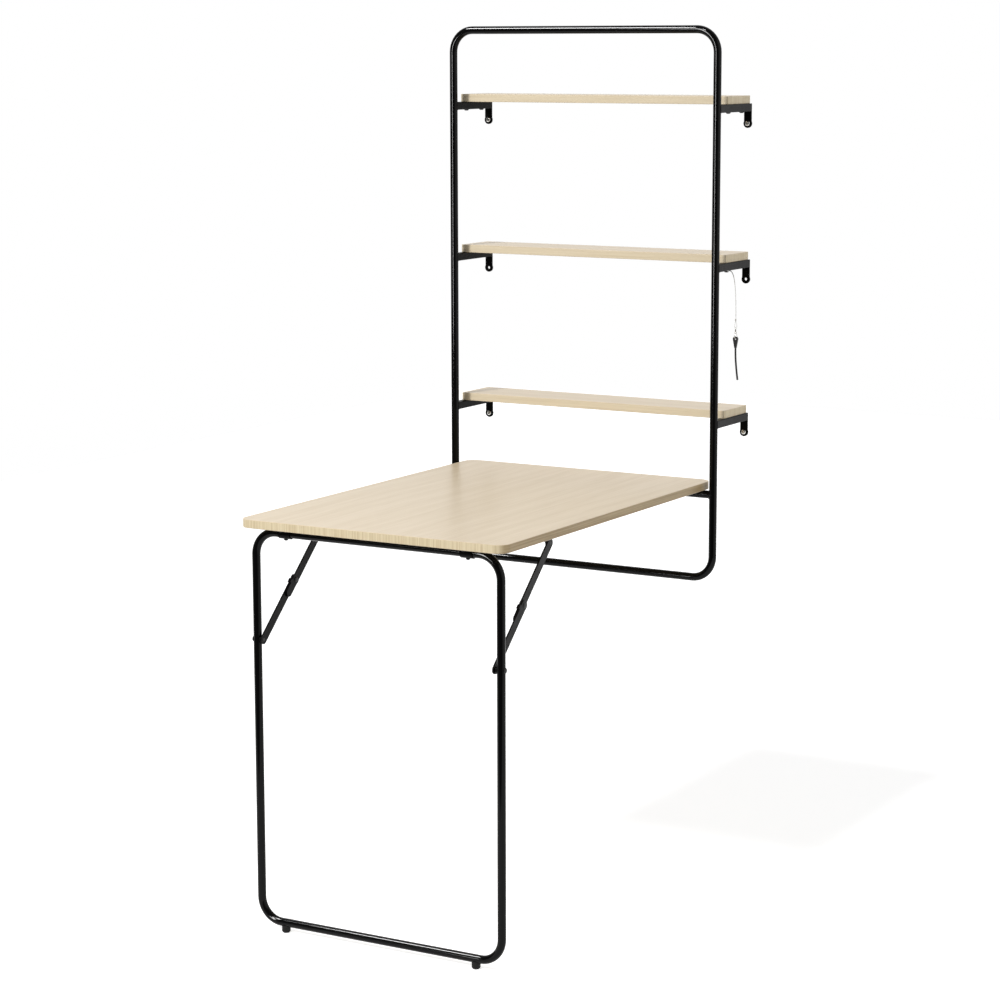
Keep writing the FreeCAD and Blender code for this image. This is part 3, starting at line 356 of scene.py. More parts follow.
# stops of the ramps that the prints are read from, and single tones
FLAT_TONES = [(0.40, (0.618, 0.506, 0.352)), (0.50, (0.645, 0.533, 0.378)),
              (0.60, (0.670, 0.558, 0.403))]
STROKE_TONES = [(0.36, (0.560, 0.458, 0.290)), (0.48, (0.622, 0.522, 0.344)),
                (0.58, (0.660, 0.563, 0.382)), (0.68, (0.695, 0.602, 0.420))]
SHELF_BAND_TONES = [(0.30, (0.575, 0.482, 0.338)), (0.50, (0.625, 0.535, 0.385)),
                    (0.70, (0.665, 0.576, 0.424))]
BOARD_BAND_TONES = [(0.30, (0.300, 0.212, 0.108)), (0.50, (0.392, 0.290, 0.156)),
                    (0.70, (0.475, 0.364, 0.210))]
PORE_TONE = (0.380, 0.285, 0.175)
WARM_TONE = (0.600, 0.450, 0.300)
SEAM_TONE = (0.060, 0.042, 0.028)

# lines per metre across the grain, and how many times longer than wide they are
FINE_LINES = (420, 50)
BROAD_LINES = (26, 9)

# lumps per metre along the grain, across it and up. Those of the flames are scaled once more.
FLAME_LUMPS = (0.9, 9, 9)
FLAME_SCALE = 0.9
PORE_LUMPS = (46, 1300, 1300)
STROKE_LUMPS = (40, 430, 6)
WARM_LUMPS = (40, 90, 5)
BAND_LUMPS = (5, 40, 380)

# how much each layer of the print shows, and how far a seam spreads round its corner
FINE_SHARE, BROAD_SHARE, FLAME_SHARE = 0.62, 0.28, 0.10
PORE_SHARE, WARM_SHARE, SEAM_SHARE = 0.12, 0.14, 0.70
SEAM_SPREAD = 0.25

# between which two values of its facing a surface takes the print of the ends or of the top
END_FACING = (0.55, 0.85)
FLAT_FACING = (0.35, 0.75)

# between which two values of their noise pores, warm patches and the figure's shine set in
PORE_RANGE = (0.56, 0.74)
WARM_RANGE = (0.45, 0.70)
FIGURE_RANGE = (0.2, 0.8)

# the laminate's roughness on its darkest and palest figure, and the figure's share in its bump
DARK_SHINE, PALE_SHINE = 0.36, 0.28
FIGURE_RELIEF = 0.4


def lumps_on(axes, along, across, up):
    """Lumps per metre in the order X, Y, Z, from those along the grain, across it and up."""
    lumps = [0.0, 0.0, 0.0]
    for axis, count in zip(axes, (along, across, up)):
        lumps[axis] = count
    return tuple(lumps)


def facing(look, axis):
    """How squarely a surface looks along an axis, either way, from 0 to 1."""
    normal = add_node(look, "TexCoord").outputs["Normal"]
    part = add_node(look, "SeparateXYZ", {0: normal}).outputs["XYZ"[axis]]
    return maths(look, "ABSOLUTE", part)


def grain_lines(look, axes, finest, stretch):
    """Lines along the grain, so many to the metre and that many times longer than wide."""
    return noise(look, lumps_on(axes, finest / stretch, finest, finest), detail=5.0,
                 roughness=0.60, distortion=0.2)


def flames(look, axes):
    """The broad wavy figure of a plain sawn board."""
    stretched = place_on(look, lumps_on(axes, *FLAME_LUMPS))
    return wave(look, stretched, FLAME_SCALE, "XYZ"[axes[1]], Distortion=9.0, Detail=3.0,
                Detail_Scale=1.4)


def figure(look, axes):
    """Fine lines, broad lines and flames together, from 0 to 1."""
    fine = maths(look, "MULTIPLY", grain_lines(look, axes, *FINE_LINES), FINE_SHARE)
    broad = maths(look, "MULTIPLY", grain_lines(look, axes, *BROAD_LINES), BROAD_SHARE)
    flamed = maths(look, "MULTIPLY", flames(look, axes), FLAME_SHARE)
    return maths(look, "ADD", maths(look, "ADD", fine, broad), flamed)


def pores(look, axes):
    """Short thin pores along the grain."""
    return spread(look, noise(look, lumps_on(axes, *PORE_LUMPS), detail=2.0), *PORE_RANGE)


def flat_print(look, axes):
    """The print of a board's upper and lower faces."""
    wood = ramp(look, figure(look, axes), FLAT_TONES)
    pored = maths(look, "MULTIPLY", pores(look, axes), PORE_SHARE)
    return blend_colours(look, pored, wood, PORE_TONE)


def end_strokes(look, axes):
    """Short upright strokes on the edges that cut across the grain."""
    strokes = ramp(look, noise(look, lumps_on(axes, *STROKE_LUMPS), detail=2.0), STROKE_TONES)
    warm = spread(look, noise(look, lumps_on(axes, *WARM_LUMPS)), *WARM_RANGE, 0.0, WARM_SHARE)
    return blend_colours(look, warm, strokes, WARM_TONE)


def long_bands(look, axes, tones):
    """Long bands on the edges that run along the grain."""
    bands = noise(look, lumps_on(axes, *BAND_LUMPS), detail=4.0, roughness=0.55)
    return ramp(look, bands, tones)


def corner_seam(look, axes):
    """The dark line where two edge strips meet round a corner."""
    skew = maths(look, "SUBTRACT", facing(look, axes[0]), facing(look, axes[1]))
    return spread(look, maths(look, "ABSOLUTE", skew), 0.0, SEAM_SPREAD, SEAM_SHARE, 0.0)


def laminate(slot, axes, edge_tones, seamed):
    """Pale oak print. Edges along the grain carry long bands, and those across it short strokes."""
    def colour(look):
        ends = spread(look, facing(look, axes[0]), *END_FACING)
        edge = blend_colours(look, ends, long_bands(look, axes, edge_tones),
                             end_strokes(look, axes))
        if seamed:
            edge = blend_colours(look, corner_seam(look, axes), edge, SEAM_TONE)
        flat = spread(look, facing(look, axes[2]), *FLAT_FACING)
        return blend_colours(look, flat, edge, flat_print(look, axes))

    def roughness(look):
        return spread(look, figure(look, axes), *FIGURE_RANGE, DARK_SHINE, PALE_SHINE)

    def relief(look):
        raised = maths(look, "MULTIPLY", figure(look, axes), FIGURE_RELIEF)
        return maths(look, "SUBTRACT", raised, pores(look, axes))

    return new_look(slot, colour, roughness, relief, bump_depth=0.00003, Specular_IOR_Level=0.28)


# ---------------------------------------------------------------- dressing the CAD nodes

BOARDS = ("shelf_lower", "shelf_middle", "shelf_top", "tabletop")
ARRIS = 0.0007
ARRIS_ANGLE = 60


def make_looks():
    """Every slot's material, and that of the round tubes."""
    return {"black_steel": flat_enamel(), "black_screws": dark_screws(), "zinc": bright_zinc(),
            "black_rubber": foot_rubber(), "black_plastic": moulded_plastic(),
            "black_cord": braided_cord(), "thin_cord": stranded_wire(),
            "shelf_laminate": laminate("shelf_laminate", GRAIN_ALONG_X, SHELF_BAND_TONES,
                                       seamed=True),
            "table_laminate": laminate("table_laminate", GRAIN_ALONG_Y, BOARD_BAND_TONES,
                                       seamed=False),
            "tubes": tube_enamel()}


def is_tube(node_name):
    """Whether a CAD node is one of the round tubes."""
    return "tube" in node_name


def is_arm_or_brace(node_name):
    """Whether a CAD node is a square arm or belongs to a folding brace."""
    return node_name.startswith(("arm", "brace"))


def ease_edges(board):
    """Round a board's sharp edges a little."""
    ease = board.modifiers.new("arris", "BEVEL")
    ease.width = ARRIS
    ease.segments = 2
    ease.limit_method = "ANGLE"
    ease.angle_limit = math.radians(ARRIS_ANGLE)


def dress_nodes():
    """Give every CAD node its material in place of the plain one, and ease the boards' edges."""
    for name, node in frame["nodes"].items():
        for place in node.material_slots:
            place.material = looks["tubes" if is_tube(name) else place.material.name]
        if name in BOARDS:
            ease_edges(node)


# ---------------------------------------------------------------- new pieces

# faces that meet at less than this many degrees are shaded as one
SMOOTH_ANGLE = 38


def finish_piece(piece, slot, body, *stands_for):
    """Give a new piece its material and its body, and hide the CAD nodes that it stands for."""
    piece.data.materials.append(looks[slot])
    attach(piece, body)
    if stands_for:
        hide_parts(*stands_for)
    return piece


def new_object(name, data):
    """An object in the scene with that mesh, curve or lamp."""
    item = bpy.data.objects.new(name, data)
    bpy.context.scene.collection.objects.link(item)
    return item


def smooth_mesh(name, shape):
    """A mesh from a bmesh, smooth but for its real edges. The bmesh is used up."""
    bmesh.ops.recalc_face_normals(shape, faces=shape.faces)
    mesh = bpy.data.meshes.new(name)
    shape.to_mesh(mesh)
    shape.free()
    mesh.shade_smooth()
    mesh.set_sharp_from_angle(angle=math.radians(SMOOTH_ANGLE))
    return mesh


def assembled(name, parts):
    """One mesh object from (mesh drawn in millimetres, place) pairs."""
    shape = bmesh.new()
    for master, place in parts:
        before = len(shape.verts)
        shape.from_mesh(master)
        shape.verts.ensure_lookup_table()
        bmesh.ops.transform(shape, matrix=place @ Matrix.Scale(MM, 4), verts=shape.verts[before:])
    return new_object(name, smooth_mesh(name, shape))


def copies_of(name, master, places):
    """One mesh object with a copy of the master mesh at each place."""
    return assembled(name, [(master, place) for place in places])


def angles_round(count):
    """A full turn in that many equal steps, from 0."""
    return [2 * math.pi * step / count for step in range(count)]


def skin(shape, rings, closed):
    """Faces between rings of as many points each."""
    following_rings = rings[1:] + rings[:1] if closed else rings[1:]
    for ring, following in zip(rings, following_rings):
        for side in range(len(ring)):
            after = (side + 1) % len(ring)
            shape.faces.new((ring[side], ring[after], following[after], following[side]))


def turned(profile, segments=36):
    """A solid turned about Z from (radius, height) points, the first and last on the axis."""
    shape = bmesh.new()
    rings = []
    for radius, height in profile:
        if radius == 0:
            rings.append([shape.verts.new((0, 0, height))])
            continue
        rings.append([shape.verts.new((radius * math.cos(angle), radius * math.sin(angle), height))
                      for angle in angles_round(segments)])
    for lower, upper in zip(rings, rings[1:]):
        for step in range(segments):
            following = (step + 1) % segments
            corners = [lower[step % len(lower)], lower[following % len(lower)],
                       upper[following % len(upper)], upper[step % len(upper)]]
            shape.faces.new(list(dict.fromkeys(corners)))
    return shape


def wire_ring(radius, wire, segments=48, sides=12):
    """A ring of round wire about Z."""
    shape = bmesh.new()
    rings = []
    for angle in angles_round(segments):
        ring = []
        for tilt in angles_round(sides):
            reach = radius + wire / 2 * math.cos(tilt)
            ring.append(shape.verts.new((reach * math.cos(angle), reach * math.sin(angle),
                                         wire / 2 * math.sin(tilt))))
        rings.append(ring)
    skin(shape, rings, closed=True)
    return shape


# ---------------------------------------------------------------- screws and rivets

# sizes of screws and rivets are in millimetres

# screw nodes: body, head height, and shank diameter
SCREWS = {"shelf_screws_lower": ("wall_frame", 2.6, 4.5),
          "shelf_screws_middle": ("wall_frame", 2.6, 4.5),
          "shelf_screws_top": ("wall_frame", 2.6, 4.5),
          "hinge_saddle_screws": ("tabletop", 2.0, 4.0),
          "leg_saddle_screws": ("tabletop", 2.0, 4.0),
          "leg_retaining_screws": ("tabletop", 3.0, 4.0),
          "brace_bracket_screws": ("tabletop", 2.0, 4.0)}

# rivet nodes: body, head height, and which way the head faces, 1 away from the middle
RIVETS = {"leg_rivets": ("leg", 2.0, 1),
          "anchor_rivets": ("tabletop", 2.0, -1),
          "knee_rivet_left": ("brace_upper_left", 2.0, -1),
          "knee_rivet_right": ("brace_upper_right", 2.0, -1),
          "knee_rivet_tail_left": ("brace_lower_left", 1.4, 1),
          "knee_rivet_tail_right": ("brace_lower_right", 1.4, 1)}
RIVET_SHANK = 6.0

# a domed head's outline from its top to its underside, in shares of its radius and its height
DOME = ((0, 1), (0.45, 0.97), (0.74, 0.84), (0.92, 0.58), (1, 0.22), (1, 0.04), (0.97, 0))

# a cross recess: length and width of its arms as shares of the head's diameter, depth as a
# share of its height, and the shares of its length and width that are left at its floor
RECESS_LENGTH, RECESS_WIDTH, RECESS_DEPTH = 0.56, 0.17, 0.6
LENGTH_TAPER, WIDTH_TAPER = 0.45, 0.7
CORNERS = ((-1, -1), (1, -1), (1, 1), (-1, 1))

# how far the first screw is turned, and each one from the one before it, in degrees
FIRST_TURN, NEXT_TURN = 20, 37

# the plated wall screws: head, shank, wide cross recess, and turns by side and by level
WALL_HEAD, WALL_HEAD_HEIGHT = 9.6, 2.8
WALL_SHANK, WALL_SHANK_LENGTH = 4.8, 3.0
WALL_RECESS_LENGTH, WALL_RECESS_WIDTH, WALL_RECESS_DEPTH = 5.8, 3.4, 2.3
SIDE_TURN, LEVEL_TURN = 25, 40

# points of a CAD mesh closer than this many metres are the same point
MERGE_DISTANCE = 1e-6


def pan_head(diameter, height, shank, length):
    """Profile of a domed head below the origin and a plain shank above it."""
    dome = [(across * diameter / 2, -down * height) for across, down in DOME]
    return dome + [(shank / 2, 0), (shank / 2, length), (0, length)]


def cross_cutter(length, width, top, depth):
    """Two crossing tapered blades, from outside a head that faces down to a depth inside it."""
    cutter = bmesh.new()
    outer = [(sx * length / 2, sy * width / 2, top - 1) for sx, sy in CORNERS]
    inner = [(sx * length / 2 * LENGTH_TAPER, sy * width / 2 * WIDTH_TAPER, top + depth)
             for sx, sy in CORNERS]
    for turn in (0, math.pi / 2):
        ends = [[cutter.verts.new(Matrix.Rotation(turn, 3, "Z") @ Vector(point)) for point in end]
                for end in (outer, inner)]
        cutter.faces.new(ends[0])
        cutter.faces.new(ends[1])
        skin(cutter, ends, closed=False)
    return cutter


def cut_cross(shape, length, width, top, depth):
    """A mesh of the shape with a cross recess sunk into its head. The shape is used up."""
    cutter = cross_cutter(length, width, top, depth)
    tool = new_object("recess_tool", smooth_mesh("recess_tool", cutter))
    blank = new_object("recess_blank", smooth_mesh("recess_blank", shape))
    cut = blank.modifiers.new("recess", "BOOLEAN")
    cut.object = tool
    cut.operation = "DIFFERENCE"
    cut.solver = "EXACT"
    cut.use_self = True
    done = bpy.data.meshes.new_from_object(
        blank.evaluated_get(bpy.context.evaluated_depsgraph_get()))
    for scrap in (tool, blank):
        bpy.data.objects.remove(scrap)
    return done


def joined_to(start, seen):
    """The places of all points that edges join to a start point. Seen points are noted."""
    seen.add(start)
    found, waiting = [], [start]
    while waiting:
        vert = waiting.pop()
        found.append(vert.co.copy())
        for edge in vert.link_edges:
            other = edge.other_vert(vert)
            if other not in seen:
                seen.add(other)
                waiting.append(other)
    return found


def solid_boxes(node):
    """The lowest and highest corners of each separate solid of a CAD node."""
    shape = bmesh.new()
    shape.from_mesh(frame["nodes"][node].data)
    bmesh.ops.remove_doubles(shape, verts=shape.verts, dist=MERGE_DISTANCE)
    boxes, seen = [], set()
    for start in shape.verts:
        if start not in seen:
            found = joined_to(start, seen)
            boxes.append((Vector(map(min, *found)), Vector(map(max, *found))))
    shape.free()
    return boxes


def screw_place(low, high, head_height, number):
    """Where a screw's head seats in the box of its solid, each screw turned its own way."""
    centre = (low + high) / 2
    turn = Matrix.Rotation(math.radians(NEXT_TURN * number + FIRST_TURN), 4, "Z")
    return Matrix.Translation((centre.x, centre.y, low.z + head_height * MM)) @ turn


def add_screws(node, body, head_height, shank):
    """Cross recessed pan heads, facing down, in place of a node's plain screws.

    Screws of one length make one piece.
    """
    by_length = {}
    for low, high in solid_boxes(node):
        length = round((high.z - low.z) / MM - head_height, 2)
        by_length.setdefault(length, []).append((low, high))
    for number, (length, boxes) in enumerate(by_length.items(), start=1):
        low, high = boxes[0]
        diameter = (high.x - low.x) / MM
        blank = turned(pan_head(diameter, head_height, shank, length))
        master = cut_cross(blank, RECESS_LENGTH * diameter, RECESS_WIDTH * diameter,
                           -head_height, RECESS_DEPTH * head_height)
        places = [screw_place(*box, head_height, order) for order, box in enumerate(boxes)]
        piece = copies_of(f"{node}_heads_{number}", master, places)
        finish_piece(piece, "black_screws", body, node)


def rivet_place(low, high, head_height, faces):
    """Where a rivet's head seats in the box of its solid, which lies along X."""
    centre = (low + high) / 2
    side = math.copysign(1, centre.x) * faces
    seat_x = high.x - head_height * MM if side > 0 else low.x + head_height * MM
    turn = Matrix.Rotation(math.radians(-90 * side), 4, "Y")
    return Matrix.Translation((seat_x, centre.y, centre.z)) @ turn


def add_rivets(node, body, head_height, faces):
    """Domed rivets in place of a node's plain ones, which are all alike."""
    boxes = solid_boxes(node)
    low, high = boxes[-1]
    head = pan_head((high.z - low.z) / MM, head_height, RIVET_SHANK,
                    (high.x - low.x) / MM - head_height)
    master = smooth_mesh(f"{node}_master", turned(head))
    places = [rivet_place(*box, head_height, faces) for box in boxes]
    finish_piece(copies_of(f"{node}_domed", master, places), "black_screws", body, node)


def add_wall_screws():
    """Plated screws through the upper and lower wall plates."""
    head = pan_head(WALL_HEAD, WALL_HEAD_HEIGHT, WALL_SHANK, WALL_SHANK_LENGTH)
    master = cut_cross(turned(head), WALL_RECESS_LENGTH, WALL_RECESS_WIDTH, -WALL_HEAD_HEIGHT,
                       WALL_RECESS_DEPTH)
    face_out = Matrix.Rotation(math.radians(-90), 4, "X")
    places = [Matrix.Translation((side * FRAME_X, PLATE_FACE_Y, level * WALL_HOLE_Z)) @ face_out
              @ Matrix.Rotation(math.radians(SIDE_TURN * side + LEVEL_TURN * level), 4, "Z")
              for side in (-1, 1) for level in (-1, 1)]
    finish_piece(copies_of("wall_screws", master, places), "zinc", "wall_frame")


# ---------------------------------------------------------------- weld beads

BEAD_RADIUS = 0.0011
BEAD_STEP = 0.0005
BEAD_SIDES = 8
RIPPLE_LENGTH = 0.0017
RIPPLE_SHARE = 0.16

# at an open end, a bead's share of its radius and how fast it grows from there
TIP_SHARE, TIP_GROWTH = 0.25, 6

# how far an arm's bead sinks in, its steps round a corner, and a plate bead's share of the arm
ARM_BEAD_SINK = 0.0003
CORNER_STEPS = 4
PLATE_BEAD_SHARE = 0.8


def sweep_bead(shape, path, closed):
    """A rippled bead along a path of (point, outward direction) pairs, thin at open ends."""
    count = len(path)
    travelled, rings = 0.0, []
    for index, (point, outward) in enumerate(path):
        before = path[index - 1][0] if closed or index else point
        after = path[(index + 1) % count][0] if closed or index < count - 1 else point
        travelled += (point - before).length
        across = (after - before).normalized().cross(outward).normalized()
        ripple = 1 + RIPPLE_SHARE * math.sin(2 * math.pi * travelled / RIPPLE_LENGTH)
        grown = TIP_SHARE + TIP_GROWTH * min(index, count - 1 - index) / count
        radius = BEAD_RADIUS * ripple * (1.0 if closed else min(1.0, grown))
        rings.append([shape.verts.new(point + radius * (math.cos(angle) * outward
                                                        + math.sin(angle) * across))
                      for angle in angles_round(BEAD_SIDES)])
    skin(shape, rings, closed)
    if not closed:
        shape.faces.new(rings[0])
        shape.faces.new(rings[-1])


def round_path(side):
    """Where the cross tube meets an upright as thick as itself."""
    path = []
    for angle in angles_round(round(2 * math.pi * TUBE_RADIUS / BEAD_STEP)):
        along, up = TUBE_RADIUS * math.cos(angle), TUBE_RADIUS * math.sin(angle)
        inset = math.sqrt(max(0.0, TUBE_RADIUS ** 2 - along ** 2))
        point = Vector((side * (FRAME_X - inset), FRAME_Y + along, HINGE_Z + up))
        path.append((point, Vector((0, math.cos(angle), math.sin(angle)))))
    return path


def square_section():
    """Points round an arm's section as (across, up, outward across, outward up)."""
    half, core = ARM_SIDE / 2, ARM_SIDE / 2 - ARM_CORNER
    straight = round(2 * core / BEAD_STEP)
    side = [(half, core * (2 * step / straight - 1), 1.0, 0.0) for step in range(straight)]
    for step in range(CORNER_STEPS + 1):
        angle = math.pi / (2 * CORNER_STEPS) * step
        side.append((core + ARM_CORNER * math.cos(angle), core + ARM_CORNER * math.sin(angle),
                     math.cos(angle), math.sin(angle)))
    return [(cos * x - sin * z, sin * x + cos * z, cos * nx - sin * nz, sin * nx + cos * nz)
            for cos, sin in ((1, 0), (0, 1), (-1, 0), (0, -1)) for x, z, nx, nz in side]


def arm_path(side, shelf_bottom):
    """Where a square arm meets its upright."""
    path = []
    for across, up, outward_across, outward_up in square_section():
        inset = math.sqrt(max(0.0, TUBE_RADIUS ** 2 - across ** 2))
        outward = Vector((outward_across, 0, outward_up))
        point = Vector((side * FRAME_X + across, FRAME_Y + inset, shelf_bottom - ARM_SIDE / 2 + up))
        path.append((point - outward * ARM_BEAD_SINK, outward))
    return path


def plate_path(side, shelf_bottom):
    """Under an arm's end, where its wall plate goes on below it."""
    width = PLATE_BEAD_SHARE * ARM_SIDE
    steps = round(width / BEAD_STEP)
    return [(Vector((side * FRAME_X + width * (step / steps - 0.5), PLATE_FACE_Y,
                     shelf_bottom - ARM_SIDE)), Vector((0, 0, -1))) for step in range(steps + 1)]


def add_weld_beads():
    """Every bead of the wall frame, in one piece."""
    shape = bmesh.new()
    for side in (-1, 1):
        sweep_bead(shape, round_path(side), closed=True)
        for shelf_bottom in SHELF_BOTTOMS:
            sweep_bead(shape, arm_path(side, shelf_bottom), closed=True)
            sweep_bead(shape, plate_path(side, shelf_bottom), closed=False)
    beads = new_object("weld_beads", smooth_mesh("weld_beads", shape))
    finish_piece(beads, "black_steel", "wall_frame")


# ---------------------------------------------------------------- lanyard

# the lanyard's routes, as in the CAD model
THIN_CORD_ROUTE = [(0.2840, -0.0783, 0.0211), (0.2840, -0.0683, 0.0211), (0.2840, -0.0578, 0.0125),
                   (0.2840, -0.0508, -0.0019), (0.2840, -0.0468, -0.0249),
                   (0.2840, -0.0443, -0.0489), (0.2840, -0.0443, -0.0729)]
LOOP_ROUTE = [(0.28345, -0.0443, -0.0772), (0.2800, -0.0443, -0.0902), (0.2880, -0.0443, -0.0902),
              (0.28455, -0.0443, -0.0772)]
PULL_CORD_ROUTE = [(0.2840, -0.0443, -0.12796), (0.2840, -0.0443, -0.14196),
                   (0.2840, -0.0421, -0.15696), (0.2840, -0.0385, -0.17396),
                   (0.2840, -0.0341, -0.18996)]

# outlines of the crimp sleeve and the swivel's barrel, as (radius, height) in millimetres
CRIMP_OUTLINE = [(0, 0), (1.3, 0), (1.6, 0.3), (1.6, 0.9), (1.3, 1.3), (1.6, 1.7), (1.6, 2.3),
                 (1.3, 2.7), (1.6, 3.1), (1.6, 3.7), (1.3, 4.0), (0, 4.0)]
BARREL_OUTLINE = [(0, -2.5), (0.9, -2.5), (1.35, -2.2), (1.5, -1.7), (1.5, -0.35), (1.3, -0.15),
                  (1.3, 0.15), (1.5, 0.35), (1.5, 1.7), (1.35, 2.2), (0.9, 2.5), (0, 2.5)]
SMALL_SEGMENTS = 24

# the swivel's middle and how far its two eyes stand from it, in metres
BARREL_Z = -0.0950
EYE_RISE = 0.0043

# radii of the eyes and the ring, and their wire, in millimetres
EYE_RADIUS, RING_RADIUS, RING_WIRE = 1.8, 5.3, 1.0

# steps of a cord between two route points, and how finely its round section is drawn
CORD_STEPS, CORD_ROUNDNESS = 12, 5


def add_cord(name, route, diameter):
    """A round cord on one smooth curve along its route."""
    curve = bpy.data.curves.new(name, "CURVE")
    curve.dimensions = "3D"
    spline = curve.splines.new("NURBS")
    spline.points.add(len(route) - 1)
    for point, place in zip(spline.points, route):
        point.co = (*place, 1.0)
    spline.order_u = 3
    spline.use_endpoint_u = True
    spline.resolution_u = CORD_STEPS
    curve.bevel_depth = diameter / 2
    curve.bevel_resolution = CORD_ROUNDNESS
    curve.use_fill_caps = True
    return new_object(name, curve)


def hung_at(height):
    """A place on the line that the lanyard hangs down."""
    return Matrix.Translation((FRAME_X, HANG_Y, height))


def about(axis):
    """A quarter turn that lays a ring made about Z on its side."""
    return Matrix.Rotation(math.radians(90), 4, axis)


def add_crimp():
    """Sleeve between the thin cord and its loop, squeezed twice."""
    master = smooth_mesh("crimp_master", turned(CRIMP_OUTLINE, SMALL_SEGMENTS))
    piece = copies_of("crimp_sleeve", master, [hung_at(CRIMP_Z)])
    return finish_piece(piece, "zinc", "wall_frame", "lanyard_crimp")


def add_swivel():
    """Two wire eyes at right angles on a small barrel."""
    eye = smooth_mesh("eye_master", wire_ring(EYE_RADIUS, RING_WIRE, segments=32, sides=10))
    barrel = smooth_mesh("barrel_master", turned(BARREL_OUTLINE, SMALL_SEGMENTS))
    piece = assembled("swivel", [(barrel, hung_at(BARREL_Z)),
                                 (eye, hung_at(BARREL_Z + EYE_RISE) @ about("Y")),
                                 (eye, hung_at(BARREL_Z - EYE_RISE) @ about("X"))])
    return finish_piece(piece, "zinc", "wall_frame", "lanyard_swivel")


def add_ring():
    """Round wire ring that carries the pull."""
    master = smooth_mesh("ring_master", wire_ring(RING_RADIUS, RING_WIRE))
    piece = copies_of("split_ring", master, [hung_at(RING_Z) @ about("Y")])
    return finish_piece(piece, "zinc", "wall_frame", "lanyard_ring")


def add_lanyard():
    """The pull cord under the middle right arm, from its thin cord down to its bare end."""
    crimp, swivel, ring = add_crimp(), add_swivel(), add_ring()
    thin = add_cord("thin_cord", THIN_CORD_ROUTE, 0.0015)
    finish_piece(thin, "thin_cord", "wall_frame", "lanyard_cord")
    loop = add_cord("end_loop", LOOP_ROUTE, 0.001)
    finish_piece(loop, "thin_cord", "wall_frame", "lanyard_loop")
    pull = add_cord("pull_cord", PULL_CORD_ROUTE, 0.0035)
    finish_piece(pull, "black_cord", "wall_frame", "lanyard_pull_cord")


# ---------------------------------------------------------------- studio

# the surroundings: their even light on the object, how bright gloss sees them in front and
# behind, and between which two values of a direction's y that changes over
AMBIENT = 0.30
ROOM_FRONT, ROOM_BACK = 0.14, 1.0
ROOM_EDGE = (-0.15, 0.25)

# the floor: half its side, its front edge, its grey, its roughness, and its own glow
FLOOR_REACH = 4.0
FLOOR_FRONT = -1.9
FLOOR_GREY = 0.86
FLOOR_ROUGHNESS = 0.9
FLOOR_LIFT = 0.60

WHITE = (1, 1, 1, 1)

# suns: the direction they stand in, strength, softness in degrees, and whether gloss shows them
SUNS = {"key": ((-0.17, -0.76, 0.63), 1.8, 7, True),
        "fill": ((0.95, -0.10, 0.20), 0.72, 60, True),
        "back_fill": ((0.10, 0.95, 0.20), 0.85, 60, False)}

# softboxes: place, the point they face, size, watts, and a test that picks the nodes they make
# highlights on and nothing else, or None for one that lights everything
SOFTBOXES = {"near_box": ((-0.60, -2.00, 1.10), (0, -0.5, -0.2), (0.4, 0.4), 20, None),
             "tall_strip": ((-1.3, -4.1, 0.5), (0, -0.3, -0.2), (0.6, 2.2), 240, is_tube),
             "high_strip": ((-1.95, -2.10, 2.8), (-1.95, -0.2, 0.3), (1.4, 0.8), 480, is_tube),
             "side_box": ((0.60, 0.15, -0.20), (0, 0.15, -0.20), (0.8, 1.4), 6,
                          is_arm_or_brace)}


def light_path(look, kind):
    """1 for rays of one kind, and 0 for the rest."""
    return add_node(look, "LightPath").outputs[f"Is {kind} Ray"]


def seen_directly(look):
    """1 for camera, glossy and transmission rays, and 0 for the light that falls on the object."""
    either = maths(look, "MAXIMUM", light_path(look, "Camera"), light_path(look, "Glossy"))
    return maths(look, "MAXIMUM", either, light_path(look, "Transmission"))


def add_world():
    """White behind the object, a plainer grey light on it, and a dim room in front of it."""
    world = bpy.data.worlds.new("studio")
    world.use_nodes = True
    bpy.context.scene.world = world
    background = world.node_tree.nodes["Background"]
    direction = add_node(world, "TexCoord").outputs["Generated"]
    depth = add_node(world, "SeparateXYZ", {0: direction}).outputs["Y"]
    mirrored = spread(world, depth, *ROOM_EDGE, ROOM_FRONT, ROOM_BACK)
    seen = blend_numbers(world, light_path(world, "Glossy"), 1.0, mirrored)
    strength = blend_numbers(world, seen_directly(world), AMBIENT, seen)
    world.node_tree.links.new(strength, background.inputs["Strength"])
    background.inputs["Color"].default_value = WHITE


def floor_look():
    """Pale grey that glows a little where it is seen directly, so that it shows white."""
    look = bpy.data.materials.new("floor_look")
    look.use_nodes = True
    shader = look.node_tree.nodes["Principled BSDF"]
    shader.inputs["Roughness"].default_value = FLOOR_ROUGHNESS
    shader.inputs["Specular IOR Level"].default_value = 0.0
    shader.inputs["Base Color"].default_value = (FLOOR_GREY, FLOOR_GREY, FLOOR_GREY, 1)
    shader.inputs["Emission Color"].default_value = WHITE
    lift = maths(look, "MULTIPLY", seen_directly(look), FLOOR_LIFT)
    look.node_tree.links.new(lift, shader.inputs["Emission Strength"])
    return look


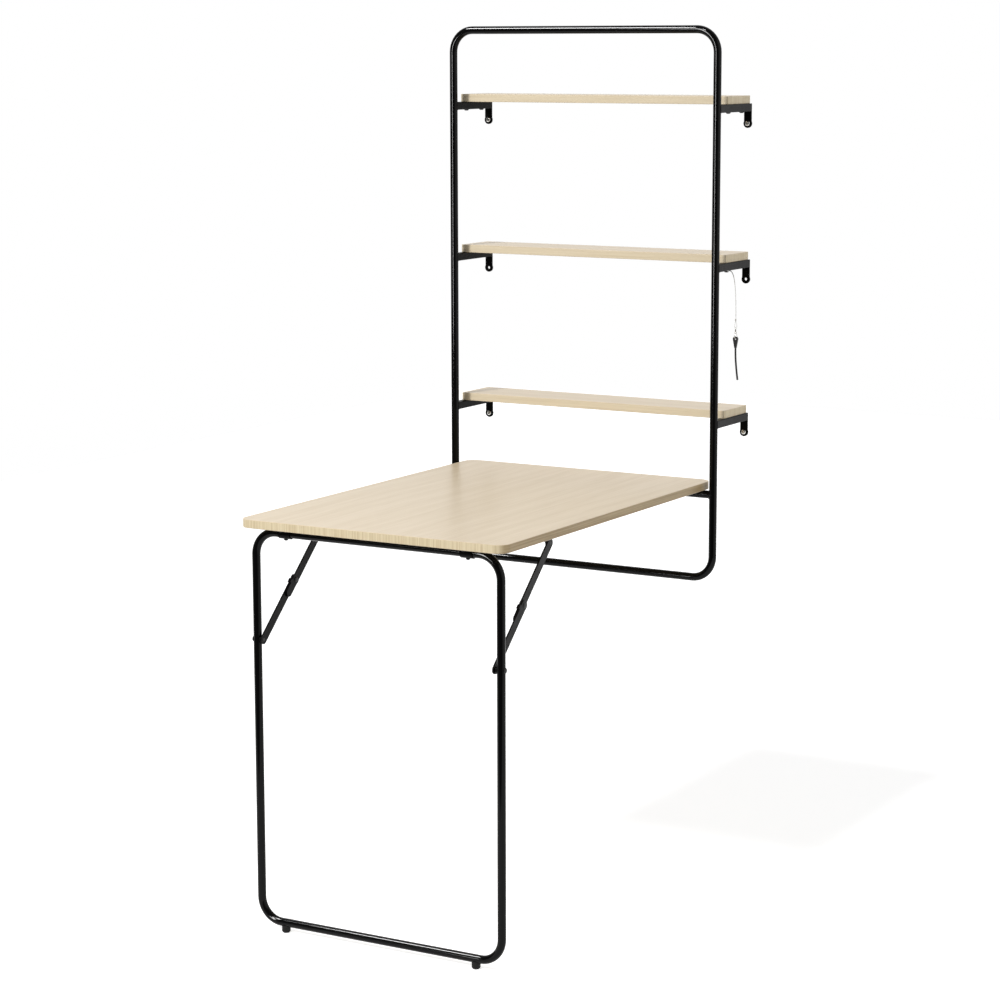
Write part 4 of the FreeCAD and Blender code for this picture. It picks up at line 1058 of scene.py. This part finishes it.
def add_floor():
    """A floor under the table's feet that takes its shadow."""
    shape = bmesh.new()
    bmesh.ops.create_grid(shape, x_segments=2, y_segments=2, size=FLOOR_REACH)
    bmesh.ops.translate(shape, verts=shape.verts, vec=(0, FLOOR_FRONT + FLOOR_REACH, FLOOR_Z))
    floor = new_object("floor", smooth_mesh("floor", shape))
    floor.data.materials.append(floor_look())


def add_sun(name, towards, strength, softness, shiny):
    """Even light from a direction, softened over that many degrees, with or without its gloss."""
    sun = bpy.data.lights.new(name, "SUN")
    sun.energy = strength
    sun.angle = math.radians(softness)
    item = new_object(name, sun)
    item.visible_glossy = shiny
    item.matrix_world = Vector(towards).to_track_quat("Z", "Y").to_matrix().to_4x4()


def chosen_nodes(name, wanted):
    """A collection of the CAD nodes whose name passes a test."""
    group = bpy.data.collections.new(name)
    for node_name, node in frame["nodes"].items():
        if wanted(node_name):
            group.objects.link(node)
    return group


def add_softbox(name, place, aim, size, watts, wanted):
    """A softbox that faces a point. With a test of node names, it makes highlights on those."""
    lamp = bpy.data.lights.new(name, "AREA")
    lamp.shape = "RECTANGLE"
    lamp.size, lamp.size_y = size
    lamp.energy = watts
    item = new_object(name, lamp)
    item.visible_camera = False
    if wanted:
        item.visible_diffuse = False
        item.light_linking.receiver_collection = chosen_nodes(f"lit_by_{name}", wanted)
    turn = (Vector(aim) - Vector(place)).to_track_quat("-Z", "Y")
    item.matrix_world = Matrix.Translation(place) @ turn.to_matrix().to_4x4()


# ---------------------------------------------------------------- the scene

add_camera()
looks = make_looks()
add_lanyard()
dress_nodes()
for screw_node, screw_facts in SCREWS.items():
    add_screws(screw_node, *screw_facts)
for rivet_node, rivet_facts in RIVETS.items():
    add_rivets(rivet_node, *rivet_facts)
add_wall_screws()
add_weld_beads()

add_world()
add_floor()
for sun_name, sun_facts in SUNS.items():
    add_sun(sun_name, *sun_facts)
for box_name, box_facts in SOFTBOXES.items():
    add_softbox(box_name, *box_facts)
bpy.context.scene.view_settings.view_transform = "Standard"
